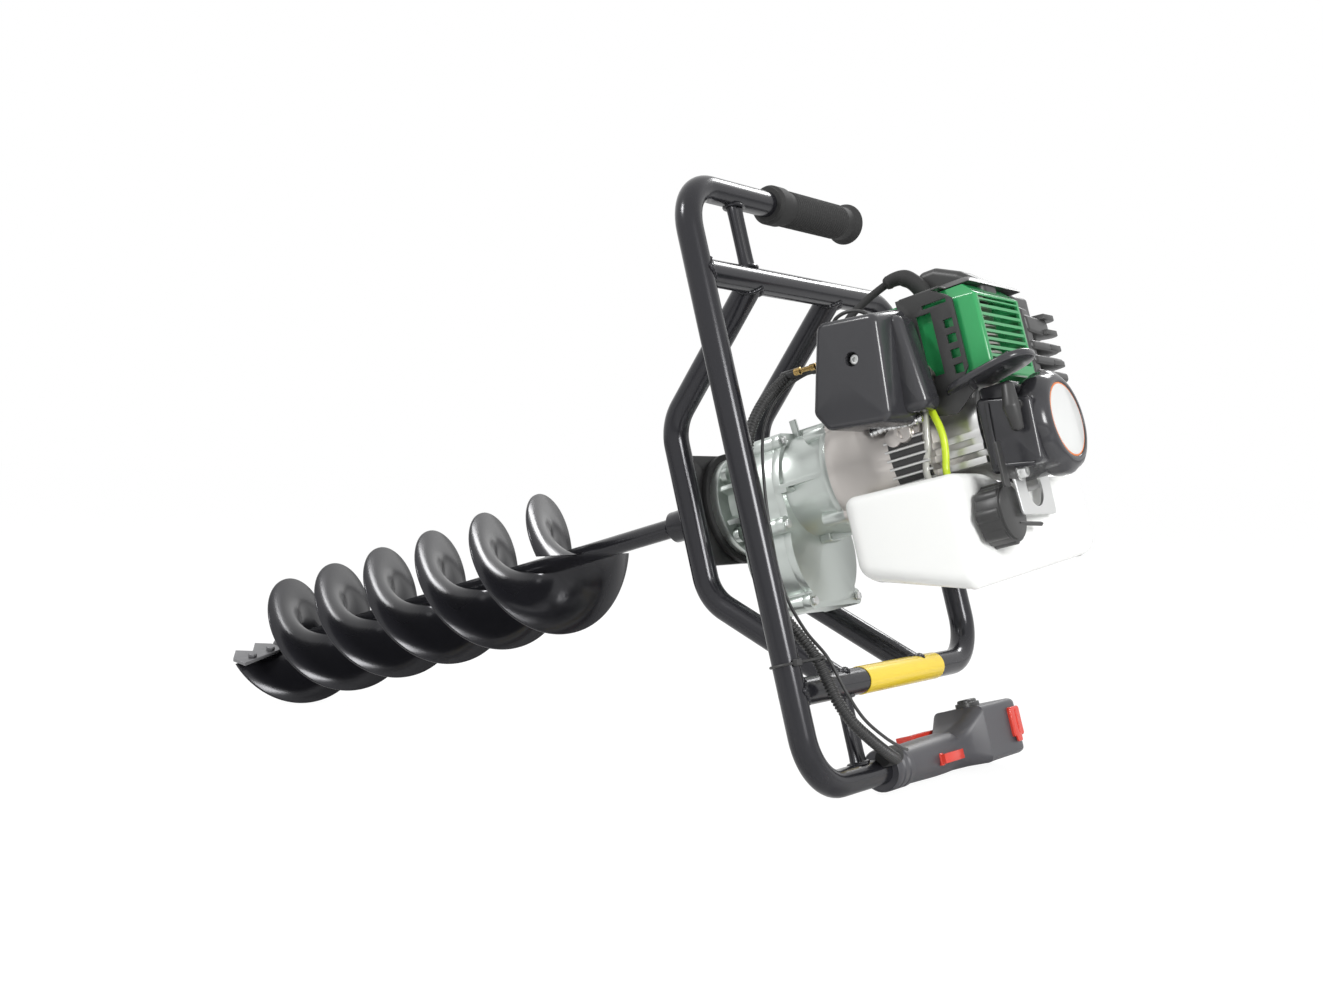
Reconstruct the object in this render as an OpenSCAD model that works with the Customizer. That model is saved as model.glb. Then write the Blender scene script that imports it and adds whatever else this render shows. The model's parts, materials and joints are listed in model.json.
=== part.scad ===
// Petrol earth auger, one operator, lying on its throttle side as it is left after use.
// Machine axes inside the modules: Z runs along the auger towards the engine, X towards the
// throttle handle and Y from the main bar towards the free ends of the two handles.
// stance() lays the machine down, so that the auger's tip and the throttle side touch the floor.

/* [Auger] */
// Outer diameter of the two flights
flight_d = 156; // [130:1:190]
// Advance of one flight in a full turn
flight_lead = 168; // [130:1:200]
// Thickness of the flight plate
flight_t = 3.6; // [2.5:0.1:5]
// Outer diameter of the auger's shaft
shaft_d = 20; // [17:0.5:24]
// Place of the flights' upper end along the axis
flight_top_z = -198; // [-230:1:-180]
// Place of the flights' cutting end along the axis
flight_tip_z = -696; // [-760:1:-560]
// Outer diameter of the auger's socket
socket_d = 32; // [30:0.5:38]
// Length of the auger's socket
socket_len = 62; // [50:1:80]
// Diameter of the pin that holds the auger on the output shaft
drive_pin_d = 8; // [6:0.5:9]
// Length of the cutting blades' teeth
tooth_len = 16; // [10:1:24]

/* [Frame] */
// Outer diameter of the frame's tubes
tube_d = 25; // [22:0.5:28]
// Wall of the frame's tubes
tube_wall = 2; // [1.5:0.1:3]
// Distance between the two handles' centre lines
frame_w = 554; // [500:1:620]
// Distance of the main bar from the auger's axis
bar_off = 162; // [145:1:185]
// Length of the handles, from the main bar's centre line to the tube's end
handle_len = 300; // [270:1:330]
// Distance between the two legs of the guard
guard_w = 385; // [350:1:420]
// Distance of the guard's outer bar from the auger's axis
guard_off = 193; // [180:1:215]
// Distance of the frame's plane above the mount plate
frame_z = 123; // [112:1:130]
// Distance between the two carrier tubes
carrier_gap = 148; // [140:1:160]
// Bend radius of the frame's tubes, at the centre line
bend_r = 46; // [40:1:52]
// Thickness of the mount plate
plate_t = 5; // [4:0.5:6]
// Outer diameter of the rubber hand grip
grip_d = 34; // [31:0.5:40]

/* [Gearbox] */
// Distance between the output shaft and the countershaft
gear_cc = 60; // [59:0.5:61]
// Outer diameter of the output flange
flange_d = 100; // [96:1:104]
// Bolt circle of the output flange
flange_pcd = 84; // [82:0.5:86]
// Diameter of the output flange's bolts
flange_bolt_d = 6; // [5:0.5:7]
// Diameter of the output shaft
output_d = 22; // [20:0.5:23]
// Height of the gear case along the axis
case_h = 45; // [45:0.5:48]
// Width of the gear case across the countershaft
case_w = 116; // [114:1:120]

/* [Engine] */
// Diameter of the clutch drum
drum_d = 78; // [74:1:80]
// Diameter of the flywheel
flywheel_d = 104; // [98:1:108]
// Outer diameter of the fan case
fan_case_d = 132; // [128:1:138]
// Cylinder bore
bore_d = 44; // [40:0.5:46]
// Diameter of the cylinder's fins
fin_d = 78; // [72:1:82]
// Outer diameter of the starter case
starter_d = 92; // [88:1:96]
// Diameter of the fuel cap
cap_d = 52; // [46:1:56]
// Diameter of the throttle conduit
conduit_d = 11; // [9:0.5:13]

/* [Hidden] */
$fn = 48;
soft_fn = 20;
gap = 0.3;
run_gap = 0.05;
handle_x = frame_w / 2;
guard_x = guard_w / 2;
carrier_y = carrier_gap / 2;
flight_r = flight_d / 2;
// Steps of the flights in one turn
flight_steps = 28;
// The flights' straight inner edges just clear the round shaft
shaft_r = (shaft_d / 2 + 0.02) / cos(180 / flight_steps);
tube_r = tube_d / 2;
// Angle of the first flight at its upper end, seen from the engine
flight_turn = 89;
// Lowest point of the flight beside the cutting end
low_turns = floor((flight_tip_z - flight_top_z) / flight_lead * 2 + flight_turn / 180) + 1;
flight_low_z = flight_top_z + (low_turns * 180 - flight_turn) / 360 * flight_lead;

// Throttle handle
throttle_r = 19.5;
throttle_y0 = -42;
throttle_y1 = 194;
head_y0 = 96;

// The floor touches a flight near the cutting end and the outer corner of the throttle handle
head_x = 18.8;
head_z = -13.3;
stance_tilt = atan((handle_x + head_x - flight_r) / (frame_z + head_z - flight_low_z));
stance_drop = flight_r * cos(stance_tilt) - flight_low_z * sin(stance_tilt) + 1;
// The row's origin is at the middle of the machine's box, on the floor
stance_x = 163.5;
stance_y = -15.5;

// Gearbox levels along the axis
ring_t = 6;
flange_z = plate_t / 2 + ring_t;
flange_t = 9;
case_z = 40;
case_top = case_z + case_h;
cover_t = 8;
cover_top = case_top + cover_t;
case_wall = 5;
bolt_reach = [[-45, 33], [36, 59], [111, 41]];
bearing_out_d = 42;
bearing_in_d = 28;

// Gears: four stages of the same two wheels between two axes
z_pinion = 14;
z_wheel = 33;
gear_m = 2 * gear_cc / (z_pinion + z_wheel);
stage_z = [case_z + 6, case_z + 17, case_z + 26, case_z + 35];
stage_t = [10, 8, 8, 8];
counter_d = 14;
idler_d = 16;
input_d = 12;

// Neck of the gear cover, around the clutch drum
neck_d = 100;
neck_z1 = cover_top + 17;
neck_z2 = 142;
neck_top = 148;
neck_flange_d = 120;
drum_z = cover_top + 15;
drum_h = 30;
neck_bolts = [45, 135, 225, 315];

// Engine levels along the axis
fan_z0 = neck_top;
fan_z1 = 199;
fan_z2 = 250;
crank_z1 = 298;
cyl_z = 274;
port_z = cyl_z - 16;
port_x = 62;
starter_z1 = 345;
starter_z2 = 361;
starter_x = 8;
crank_d = 15;

// Cylinder, from the crankcase outwards along minus X
cyl_x0 = 38;
cyl_x1 = 118;
plug_x = 128;

// Fuel tank
tank_y = 92;
tank_z0 = 178;
tank_z1 = 285;
tank_z2 = 329;
tank_r = 10;
tank_wall = 3;
cap_x = 80;
cap_y = -58;
cap_t = 25;

// Muffler cover: front face and depth
muff_y = -113;
muff_back = -61.5;

// Throttle conduit: route points in machine axes, from the throttle handle to the engine
conduit_pts = [[268, -45, 143], [266, -58, 148], [258, -78, 152], [245, -98, 152],
    [228, -116, 149], [208, -128, 146], [186, -135, 144], [166, -138, 140], [146, -139, 130],
    [126, -139, 118], [104, -139, 110], [70, -139, 107], [36, -138, 107], [0, -134, 108],
    [-40, -124, 112], [-66, -108, 120], [-82, -90, 128], [-94, -74, 137]];

// Spark lead route, from the plug boot down behind the muffler cover to the coil
lead_pts = [[-162, -24, 248], [-160, -28, 238], [-154, -32, 228], [-142, -34, 218],
    [-126, -32, 210], [-110, -26, 208], [-96, -16, 212], [-87, -6, 219], [-81, 0, 223]];

// Fuel line routes, from the tank's grommet up to the crankcase's side
fuel_pts_a = [[36, -75, 271], [22, -75, 273], [5, -75, 275], [-6, -71, 273], [-12, -64, 271],
    [-15, -54, 270], [-16, -46, 270], [-16, -40.3, 270]];
fuel_pts_b = [[36, -75, 260], [22, -74, 259], [9, -73, 259], [-2, -70, 259], [-7, -63, 259],
    [-9, -54, 259], [-9, -47, 259], [-9, -42.4, 259]];

// Lays the machine down on the floor
module stance() {
    translate([stance_x, stance_y, stance_drop]) rotate([0, 90 - stance_tilt, 0]) children();
}

function unit(v) = v / norm(v);

// Tube along a flat route of points, with round bends
module tube_route(pts, r, d) {
    n = len(pts);
    for (i = [0:n - 2]) {
        a = pts[i];
        b = pts[i + 1];
        dir = (b - a) / norm(b - a);
        cut_a = i == 0 ? 0 : bend_cut(pts, i, r);
        cut_b = i == n - 2 ? 0 : bend_cut(pts, i + 1, r);
        run = norm(b - a) - cut_a - cut_b;
        p = a + dir * cut_a;
        translate([p[0], p[1], 0]) rotate([0, 0, atan2(dir[1], dir[0])]) rotate([0, 90, 0])
            cylinder(d = d, h = run);
    }
    for (i = [1:n - 2]) {
        d0 = (pts[i] - pts[i - 1]) / norm(pts[i] - pts[i - 1]);
        d1 = (pts[i + 1] - pts[i]) / norm(pts[i + 1] - pts[i]);
        side = sign(d0[0] * d1[1] - d0[1] * d1[0]);
        start = pts[i] - d0 * bend_cut(pts, i, r);
        c = start + side * r * [-d0[1], d0[0]];
        a0 = atan2(-side * d0[0], side * d0[1]);
        sweep = turn_of(pts, i);
        translate([c[0], c[1], 0]) rotate([0, 0, side > 0 ? a0 : a0 - sweep])
            rotate_extrude(angle = sweep) translate([r, 0]) circle(d = d);
    }
}
function turn_of(pts, i) =
    let (d0 = (pts[i] - pts[i - 1]) / norm(pts[i] - pts[i - 1]),
         d1 = (pts[i + 1] - pts[i]) / norm(pts[i + 1] - pts[i]))
    acos(max(-1, min(1, d0 * d1)));
function bend_cut(pts, i, r) = r * tan(turn_of(pts, i) / 2);

// Hollow tube of the frame along a flat route
module frame_tube(pts, r) {
    difference() {
        tube_route(pts, r, tube_d);
        tube_route(pts, r, tube_d - 2 * tube_wall);
    }
}

// Rounded bar between two points
module rod(a, b, d) {
    v = b - a;
    translate(a) rotate([0, acos(v[2] / norm(v)), atan2(v[1], v[0])]) cylinder(d = d, h = norm(v));
}

// Swept tube with a given number of sides, closed at both ends
function tangent(p, i) = unit(p[min(i + 1, len(p) - 1)] - p[max(i - 1, 0)]);
function side_of(t) = unit(cross(abs(t[2]) < 0.8 ? [0, 0, 1] : [1, 0, 0], t));
function ring_pts(c, t, r, sides) =
    let (u = side_of(t), w = cross(t, u))
    [for (k = [0:sides - 1]) c + r * (cos(360 * k / sides) * u + sin(360 * k / sides) * w)];
module sweep_tube(pts, radii, sides) {
    n = len(pts);
    verts = [for (i = [0:n - 1]) each ring_pts(pts[i], tangent(pts, i), radii[i], sides)];
    walls = [for (i = [0:n - 2], k = [0:sides - 1]) each
        let (a = i * sides + k, b = i * sides + (k + 1) % sides)
        [[a, b, b + sides], [a, b + sides, a + sides]]];
    caps = concat([for (k = [1:sides - 2]) [0, k + 1, k]],
        [for (k = [1:sides - 2]) [(n - 1) * sides, (n - 1) * sides + k, (n - 1) * sides + k + 1]]);
    polyhedron(points = verts, faces = [for (f = concat(walls, caps)) [f[2], f[1], f[0]]]);
}
// Points on a smooth curve through the route, several to each span
function curve_at(p, s) =
    let (i = min(floor(s), len(p) - 2), t = s - i,
         a = p[max(i - 1, 0)], b = p[i], c = p[i + 1], d = p[min(i + 2, len(p) - 1)])
    0.5 * (2 * b + (c - a) * t + (2 * a - 5 * b + 4 * c - d) * t * t
        + (3 * b - a - 3 * c + d) * t * t * t);
function curve_pts(p, steps) =
    [for (k = [0:(len(p) - 1) * steps]) curve_at(p, k / steps)];

// Flat outline of the gear case: two round lobes, straight ends and bolt ears, grown by e
module case_outline(e) {
    translate([2, 0]) circle(d = case_w - 4 + 2 * e);
    translate([gear_cc, 0]) circle(d = case_w + 2 * e);
    translate([0, -case_w / 2 + 4 - e]) square([gear_cc, case_w - 8 + 2 * e]);
}
module case_ends() {
    translate([-53, -33]) square([50, 66]);
    translate([gear_cc, -41]) square([case_w / 2, 82]);
    for (p = case_bolts) translate(p) circle(d = 16);
}
case_bolts = [for (p = bolt_reach, s = [-1, 1]) [p[0], s * p[1]]];

// Spur gear outline with straight flanks inside the true ones
module gear_outline(m, z, turn) {
    rp = m * z / 2;
    ra = rp + 0.7 * m;
    rf = rp - 1.1 * m;
    half = 360 / z / 4;
    rotate(turn) polygon([for (i = [0:z - 1]) each
        let (c = 360 * i / z)
        [rf * [cos(c - half * 1.5), sin(c - half * 1.5)],
         ra * [cos(c - half * 0.4), sin(c - half * 0.4)],
         ra * [cos(c + half * 0.4), sin(c + half * 0.4)],
         rf * [cos(c + half * 1.5), sin(c + half * 1.5)]]]);
}
module wheel(stage, turn) {
    translate([0, 0, stage_z[stage]]) linear_extrude(stage_t[stage])
        gear_outline(gear_m, z_wheel, turn);
}
module pinion(stage, turn) {
    translate([0, 0, stage_z[stage]]) linear_extrude(stage_t[stage])
        gear_outline(gear_m, z_pinion, turn);
}

// Ring with a true bore
module ring(d_out, d_in, h) {
    difference() {
        cylinder(d = d_out, h = h);
        translate([0, 0, -1]) cylinder(d = d_in, h = h + 2);
    }
}

// Hexagon head screw along minus Z from its seat
module hex_screw(d, len) {
    cylinder(d = 1.75 * d, h = 0.65 * d, $fn = 6);
    translate([0, 0, -len]) cylinder(d = d, h = len);
}

// Block with round edges, faceted
module soft_block(size, r) {
    hull() for (x = [r, size[0] - r], y = [r, size[1] - r], z = [r, size[2] - r])
        translate([x, y, z]) sphere(r = r, $fn = soft_fn);
}

// Frame
module main_bar() color("#141517") stance() translate([0, 0, frame_z])
    frame_tube([[-handle_x, handle_len - bar_off], [-handle_x, -bar_off],
        [handle_x, -bar_off], [handle_x, handle_len - bar_off]], bend_r);

module guard_bar() color("#141517") stance() translate([0, 0, frame_z])
    difference() {
        frame_tube([[-guard_x, -bar_off], [-guard_x, guard_off], [guard_x, guard_off],
            [guard_x, -bar_off]], bend_r);
        translate([-handle_x, -bar_off, 0]) rotate([0, 90, 0])
            cylinder(r = tube_r + gap, h = frame_w);
    }

// Carriers: down from a guard leg, across at the mount plate and up to the other leg
carrier_run = 86;
carrier_sides = 32;
function bend_pts(pts, i, r, steps) =
    let (d0 = unit(pts[i] - pts[i - 1]), d1 = unit(pts[i + 1] - pts[i]),
         side = sign(d0[0] * d1[1] - d0[1] * d1[0]), sweep = turn_of(pts, i),
         start = pts[i] - d0 * bend_cut(pts, i, r))
    [for (k = [0:steps]) let (a = sweep * k / steps)
        start + r * sin(a) * d0 + side * r * (1 - cos(a)) * [-d0[1], d0[0]]];
module carrier_sweep(over, r) {
    foot = [carrier_run, 0];
    top = [guard_x, frame_z];
    far = foot + (top - foot) * (1 + over / norm(top - foot));
    route = [[-far[0], far[1]], [-foot[0], 0], foot, far];
    flat = concat([route[0]], bend_pts(route, 1, bend_r, 7), bend_pts(route, 2, bend_r, 7),
        [route[3]]);
    pts = [for (p = flat) [p[0], 0, p[1]]];
    sweep_tube(pts, [for (p = pts) r], carrier_sides);
}
module carriers() color("#141517") stance() for (y = [-carrier_y, carrier_y])
    translate([0, y, 0]) difference() {
        carrier_sweep(0, tube_r);
        carrier_sweep(1, tube_r - tube_wall);
        for (s = [-1, 1]) translate([s * guard_x, -tube_d, frame_z]) rotate([-90, 0, 0])
            cylinder(d = tube_d, h = 2 * tube_d);
    }

// Flattened tube struts between each handle and the guard leg beside it
gusset_y = -78;
module frame_gussets() color("#141517") stance() for (s = [-1, 1])
    difference() {
        translate([s > 0 ? guard_x : -handle_x, gusset_y - 9, frame_z - 5])
            cube([handle_x - guard_x, 18, 10]);
        for (x = [handle_x, guard_x]) translate([s * x, gusset_y - 20, frame_z])
            rotate([-90, 0, 0]) cylinder(r = tube_r + gap, h = 40);
        for (f = [-1, 1]) translate([s > 0 ? guard_x : -handle_x, gusset_y, frame_z + f * 8])
            rotate([0, 90, 0]) cylinder(r = 4.5, h = handle_x - guard_x);
    }

plate_w = carrier_gap - tube_d - 2 * gap;
plate_h = 110;
center_hole = 46;
module bolt_circle(pcd, n, turn) {
    for (i = [0:n - 1]) rotate(turn + 360 * i / n) translate([pcd / 2, 0, 0]) children();
}
module mount_plate() color("#1a1b1d") stance() difference() {
    translate([-plate_h / 2, -plate_w / 2, -plate_t / 2]) cube([plate_h, plate_w, plate_t]);
    translate([0, 0, -plate_t]) cylinder(d = center_hole, h = 2 * plate_t);
    translate([0, 0, -plate_t]) bolt_circle(flange_pcd, 4, 45)
        cylinder(d = flange_bolt_d + 0.6, h = 2 * plate_t);
}
module vibration_ring() color("#111111") stance() translate([0, 0, plate_t / 2]) difference() {
    cylinder(d = flange_d + 12, h = ring_t);
    translate([0, 0, -1]) cylinder(d = center_hole, h = ring_t + 2);
    translate([0, 0, -1]) bolt_circle(flange_pcd, 4, 45)
        cylinder(d = flange_bolt_d + 0.6, h = ring_t + 2);
}

grip_y1 = handle_len - bar_off + 4;
grip_len = 158;
module hand_grip() color("#1c1d1f") stance()
    translate([-handle_x, grip_y1, frame_z]) rotate([90, 0, 0]) difference() {
        union() {
            cylinder(d = grip_d + 8, h = 5);
            cylinder(d = grip_d, h = grip_len);
            translate([0, 0, grip_len - 20]) cylinder(d = grip_d + 5, h = 20);
            for (i = [0:11]) translate([0, 0, 30 + i * 8]) cylinder(d = grip_d + 1.6, h = 3.2);
        }
        translate([0, 0, 4]) cylinder(d = tube_d + 2 * run_gap, h = grip_len);
    }

// Plain coloured sleeve on the lower guard leg
sleeve_y0 = -44;
sleeve_len = 150;
module marker_sleeve() color("#e5a90d") stance() translate([guard_x, sleeve_y0, frame_z])
    rotate([-90, 0, 0]) difference() {
        ring(tube_d + 1.4, tube_d + 2 * run_gap, sleeve_len);
        translate([-tube_d, -4, carrier_y - sleeve_y0 - 16.5]) cube([tube_d + 8, tube_d + 4, 33]);
    }

// Gearbox
module gear_case() color("#a3a9a4") stance() difference() {
    union() {
        translate([0, 0, flange_z]) cylinder(d = flange_d, h = flange_t);
        translate([0, 0, flange_z]) cylinder(d = 66, h = case_z - flange_z + 1);
        for (i = [0:7]) rotate(22.5 + i * 45) translate([0, -2.5, flange_z])
            cube([45, 5, case_z - flange_z + 1]);
        translate([0, 0, flange_z]) bolt_circle(flange_pcd, 4, 45)
            cylinder(d = 15, h = flange_t + 6);
        translate([0, 0, case_z]) linear_extrude(case_h) case_outline(0);
        translate([0, 0, case_z + 14]) linear_extrude(case_h - 14) case_ends();
    }
    translate([0, 0, case_z + case_wall]) linear_extrude(case_h) case_outline(-case_wall);
    translate([0, 0, flange_z - 1]) cylinder(d = bearing_out_d, h = case_z);
    translate([gear_cc, 0, case_z - 1]) cylinder(d = counter_d, h = case_h);
    translate([0, 0, flange_z - 1]) bolt_circle(flange_pcd, 4, 45)
        cylinder(d = flange_bolt_d, h = flange_t + 4);
    for (p = case_bolts) translate([p[0], p[1], case_top - 18]) cylinder(d = 5, h = 20);
}

// Cover of the gear case, with the neck around the clutch drum
module gear_cover() color("#9ba19c") stance() difference() {
    union() {
        translate([0, 0, case_top]) linear_extrude(cover_t) case_outline(0);
        translate([0, 0, case_top]) linear_extrude(cover_t) case_ends();
        translate([0, 0, cover_top - 1]) cylinder(d = neck_d, h = neck_z1 - cover_top + 1);
        translate([0, 0, neck_z1]) cylinder(d1 = neck_d, d2 = neck_flange_d - 6,
            h = neck_z2 - neck_z1);
        translate([0, 0, neck_z2]) cylinder(d = neck_flange_d, h = neck_top - neck_z2);
        for (a = neck_bolts) rotate(a) translate([57, 0, neck_top - 24])
            cylinder(d = 14, h = 24);
        for (a = [0, 180, 270]) rotate(a) translate([neck_d / 2 - 4, -2, cover_top - 1])
            cube([10, 4, neck_z2 - cover_top]);
    }
    translate([0, 0, cover_top + 4]) cylinder(d = drum_d + 4, h = 80);
    translate([0, 0, case_top - 1]) cylinder(d = bearing_in_d, h = 40);
    translate([gear_cc, 0, case_top - 1]) cylinder(d = counter_d, h = 6);
    for (p = case_bolts) translate([p[0], p[1], case_top - 1]) cylinder(d = 5.6, h = 12);
    for (a = neck_bolts) rotate(a) translate([57, 0, neck_top - 20]) cylinder(d = 5, h = 30);
}
module gear_cover_bolts() color("#b9bcbd") stance() for (p = case_bolts)
    translate([p[0], p[1], cover_top]) hex_screw(5, 22);
module flange_bolts() color("#b9bcbd") stance() bolt_circle(flange_pcd, 4, 45)
    translate([0, 0, -plate_t / 2]) mirror([0, 0, 1]) hex_screw(flange_bolt_d, plate_t + ring_t + 10);

module output_seal() color("#1a1a1a") stance() translate([0, 0, flange_z + 1])
    ring(bearing_out_d, output_d + 2 * run_gap, 6);

// Bearings of the output shaft and of the clutch drum's shaft
module gearbox_bearings() color("#c6c8ca") stance() {
    translate([0, 0, flange_z + 8]) ring(bearing_out_d, output_d + 2 * run_gap, 12);
    translate([0, 0, case_top]) ring(bearing_in_d, input_d + 2 * run_gap, 11);
}

// Output shaft with its wheel; the idler turns on the shaft's thinner end
stub_len = 64;
stub_z = -(stub_len + 6);
pin_z = stub_z + 26;
module output_shaft() color("#8f9396") stance() difference() {
    union() {
        translate([0, 0, stub_z]) cylinder(d = output_d, h = stage_z[0] + stage_t[0] - stub_z);
        wheel(0, 0);
        translate([0, 0, stage_z[0]]) cylinder(d = idler_d,
            h = stage_z[2] + stage_t[2] - stage_z[0]);
    }
    translate([0, 0, pin_z]) rotate([90, 0, 0])
        cylinder(d = drive_pin_d + 2 * run_gap, h = 60, center = true);
}
// Fixed pin of the two wheels beside the output shaft
module countershaft() color("#8f9396") stance() translate([gear_cc, 0, case_z])
    cylinder(d = counter_d, h = case_h + 5);
module low_gear() color("#7c8083") stance() translate([gear_cc, 0, 0]) difference() {
    union() {
        pinion(0, 180 / z_pinion);
        translate([0, 0, stage_z[0] + stage_t[0] - 1]) cylinder(d = 30, h = 3);
        wheel(1, 0);
    }
    translate([0, 0, case_z]) cylinder(d = counter_d + 2 * run_gap, h = case_h);
}
module idler_gear() color("#7c8083") stance() difference() {
    union() {
        pinion(1, 0);
        translate([0, 0, stage_z[1] + stage_t[1] - 1]) cylinder(d = 30, h = 3);
        wheel(2, 0);
    }
    translate([0, 0, case_z]) cylinder(d = idler_d + 2 * run_gap, h = case_h);
}
module high_gear() color("#7c8083") stance() translate([gear_cc, 0, 0]) difference() {
    union() {
        pinion(2, 180 / z_pinion);
        translate([0, 0, stage_z[2] + stage_t[2] - 1]) cylinder(d = 30, h = 3);
        wheel(3, 0);
    }
    translate([0, 0, case_z]) cylinder(d = counter_d + 2 * run_gap, h = case_h);
}
// Clutch drum in one piece with the input pinion
module clutch_drum() color("#85898b") stance() {
    pinion(3, 0);
    translate([0, 0, stage_z[3]]) cylinder(d = input_d, h = drum_z - stage_z[3] + 2);
    translate([0, 0, drum_z]) difference() {
        cylinder(d = drum_d, h = drum_h);
        translate([0, 0, 3]) cylinder(d = drum_d - 5, h = drum_h);
    }
}

// Auger
socket_z0 = -(socket_len + 12);
module auger_shaft() color("#17181a") stance() difference() {
    union() {
        translate([0, 0, flight_tip_z - 6]) cylinder(d = shaft_d, h = socket_z0 - flight_tip_z + 8);
        translate([0, 0, socket_z0]) cylinder(d = socket_d, h = socket_len);
        translate([0, 0, socket_z0 - 6]) cylinder(d1 = shaft_d, d2 = socket_d, h = 6.01);
    }
    translate([0, 0, stub_z - gap]) cylinder(d = output_d + 2 * run_gap, h = socket_len + 20);
    translate([0, 0, pin_z]) rotate([90, 0, 0])
        cylinder(d = drive_pin_d + 2 * run_gap, h = 60, center = true);
}
module flight(turn0) {
    span = flight_top_z - flight_tip_z;
    n = ceil(span / flight_lead * flight_steps);
    pts = [for (i = [0:n]) each
        let (z = flight_tip_z + span * i / n, a = turn0 + (z - flight_top_z) / flight_lead * 360)
        [for (q = [[shaft_r, -flight_t / 2], [flight_r, -flight_t / 2], [flight_r, flight_t / 2],
            [shaft_r, flight_t / 2]]) [q[0] * cos(a), q[0] * sin(a), z + q[1]]]];
    walls = [for (i = [0:n - 1], k = [0:3]) each
        let (a = 4 * i + k, b = 4 * i + (k + 1) % 4) [[a, a + 4, b], [b, a + 4, b + 4]]];
    caps = [[0, 1, 2], [0, 2, 3], [4 * n, 4 * n + 2, 4 * n + 1], [4 * n, 4 * n + 3, 4 * n + 2]];
    polyhedron(points = pts, faces = concat(walls, caps));
}
module auger_flights() color("#17181a") stance() {
    flight(flight_turn);
    flight(flight_turn + 180);
}
// Toothed blades on the leading edges of the two flights
tip_turn = flight_turn + (flight_tip_z - flight_top_z) / flight_lead * 360;
blade_t = 4;
blade_tilt = 28;
blade_in = shaft_r + 4;
module blade_outline() {
    w = flight_r - blade_in;
    polygon([[0, 16], [0, -4], [w * 0.2, -4 - tooth_len], [w * 0.5, -4], [w * 0.7, -4 - tooth_len],
        [w, -4], [w, 16]]);
}
module on_blades() {
    for (s = [0, 180]) rotate(tip_turn + s) translate([blade_in, 0, flight_tip_z])
        rotate([-blade_tilt, 0, 0]) translate([0, -flight_t / 2 - gap - blade_t / 2, 0]) children();
}
blade_holes = [14, 44];
module cutter_blades() color("#2b2d2f") stance() on_blades() difference() {
    rotate([90, 0, 0]) linear_extrude(blade_t, center = true) blade_outline();
    for (x = blade_holes) translate([x, 0, 8]) rotate([90, 0, 0])
        cylinder(d = 6.4, h = 3 * blade_t, center = true);
}
module cutter_bolts() color("#4a4d50") stance() on_blades() for (x = blade_holes)
    translate([x, -blade_t / 2, 8]) rotate([90, 0, 0]) hex_screw(6, blade_t);
module drive_pin() color("#b9bcbd") stance() translate([0, 0, pin_z]) rotate([90, 0, 0]) {
    cylinder(d = drive_pin_d, h = socket_d + 14, center = true);
    translate([0, 0, -socket_d / 2 - 9]) cylinder(d = 13, h = 6);
}

// Engine
fan_wall = 4.5;
slot_z = fan_z1 + 18;
coil_w = 34;
module fan_case() color("#a39c95") stance() difference() {
    union() {
        translate([0, 0, fan_z0]) cylinder(d1 = neck_flange_d, d2 = fan_case_d,
            h = fan_z1 - fan_z0);
        translate([0, 0, fan_z1]) cylinder(d = fan_case_d, h = fan_z2 - fan_z1);
        for (a = neck_bolts) rotate(a) translate([57, 0, fan_z0]) cylinder(d = 14, h = 14);
        translate([-10, -fan_case_d / 2 - 4, fan_z2 - 24]) rotate([-90, 0, 0])
            cylinder(d = 16, h = 12);
    }
    translate([0, 0, fan_z0 - 1]) cylinder(d = drum_d + 8, h = 30);
    translate([0, 0, fan_z0 + 8]) cylinder(d1 = drum_d + 8, d2 = fan_case_d - 2 * fan_wall,
        h = fan_z1 - fan_z0 - 7.9);
    translate([0, 0, fan_z1]) cylinder(d = fan_case_d - 2 * fan_wall,
        h = fan_z2 - fan_z1 - fan_wall);
    translate([0, 0, fan_z2 - fan_wall - 1]) cylinder(d = 40, h = 8);
    for (i = [0:4]) translate([2 + i * 9, -fan_case_d, slot_z]) cube([5.5, fan_case_d, 28]);
    translate([-fan_case_d, -coil_w / 2, slot_z - 4]) cube([fan_case_d, coil_w, 30]);
}
shoe_z = drum_z + 6;
module clutch_shoes() color("#5d5a55") stance() translate([0, 0, shoe_z]) difference() {
    union() {
        difference() {
            cylinder(d = drum_d - 9, h = 18);
            translate([-60, -2, -1]) cube([120, 4, 20]);
            translate([0, 0, -1]) cylinder(d = 30, h = 20);
        }
        translate([0, 0, 3]) cylinder(d = 32, h = 12);
    }
    translate([0, 0, -1]) cylinder(d = crank_d, h = 30);
}
wheel_z = slot_z - 5;
module flywheel() color("#8d9093") stance() translate([0, 0, wheel_z]) difference() {
    union() {
        cylinder(d = flywheel_d - 22, h = 28);
        cylinder(d = flywheel_d, h = 5);
        for (i = [0:17]) rotate(i * 20) translate([flywheel_d / 2 - 15, -1.2, 0])
            cube([14, 2.4, 22]);
    }
    translate([0, 0, -1]) cylinder(d = crank_d, h = 40);
    translate([0, 0, 8]) ring(flywheel_d - 34, 40, 30);
}
crankcase_d = 86;
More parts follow.
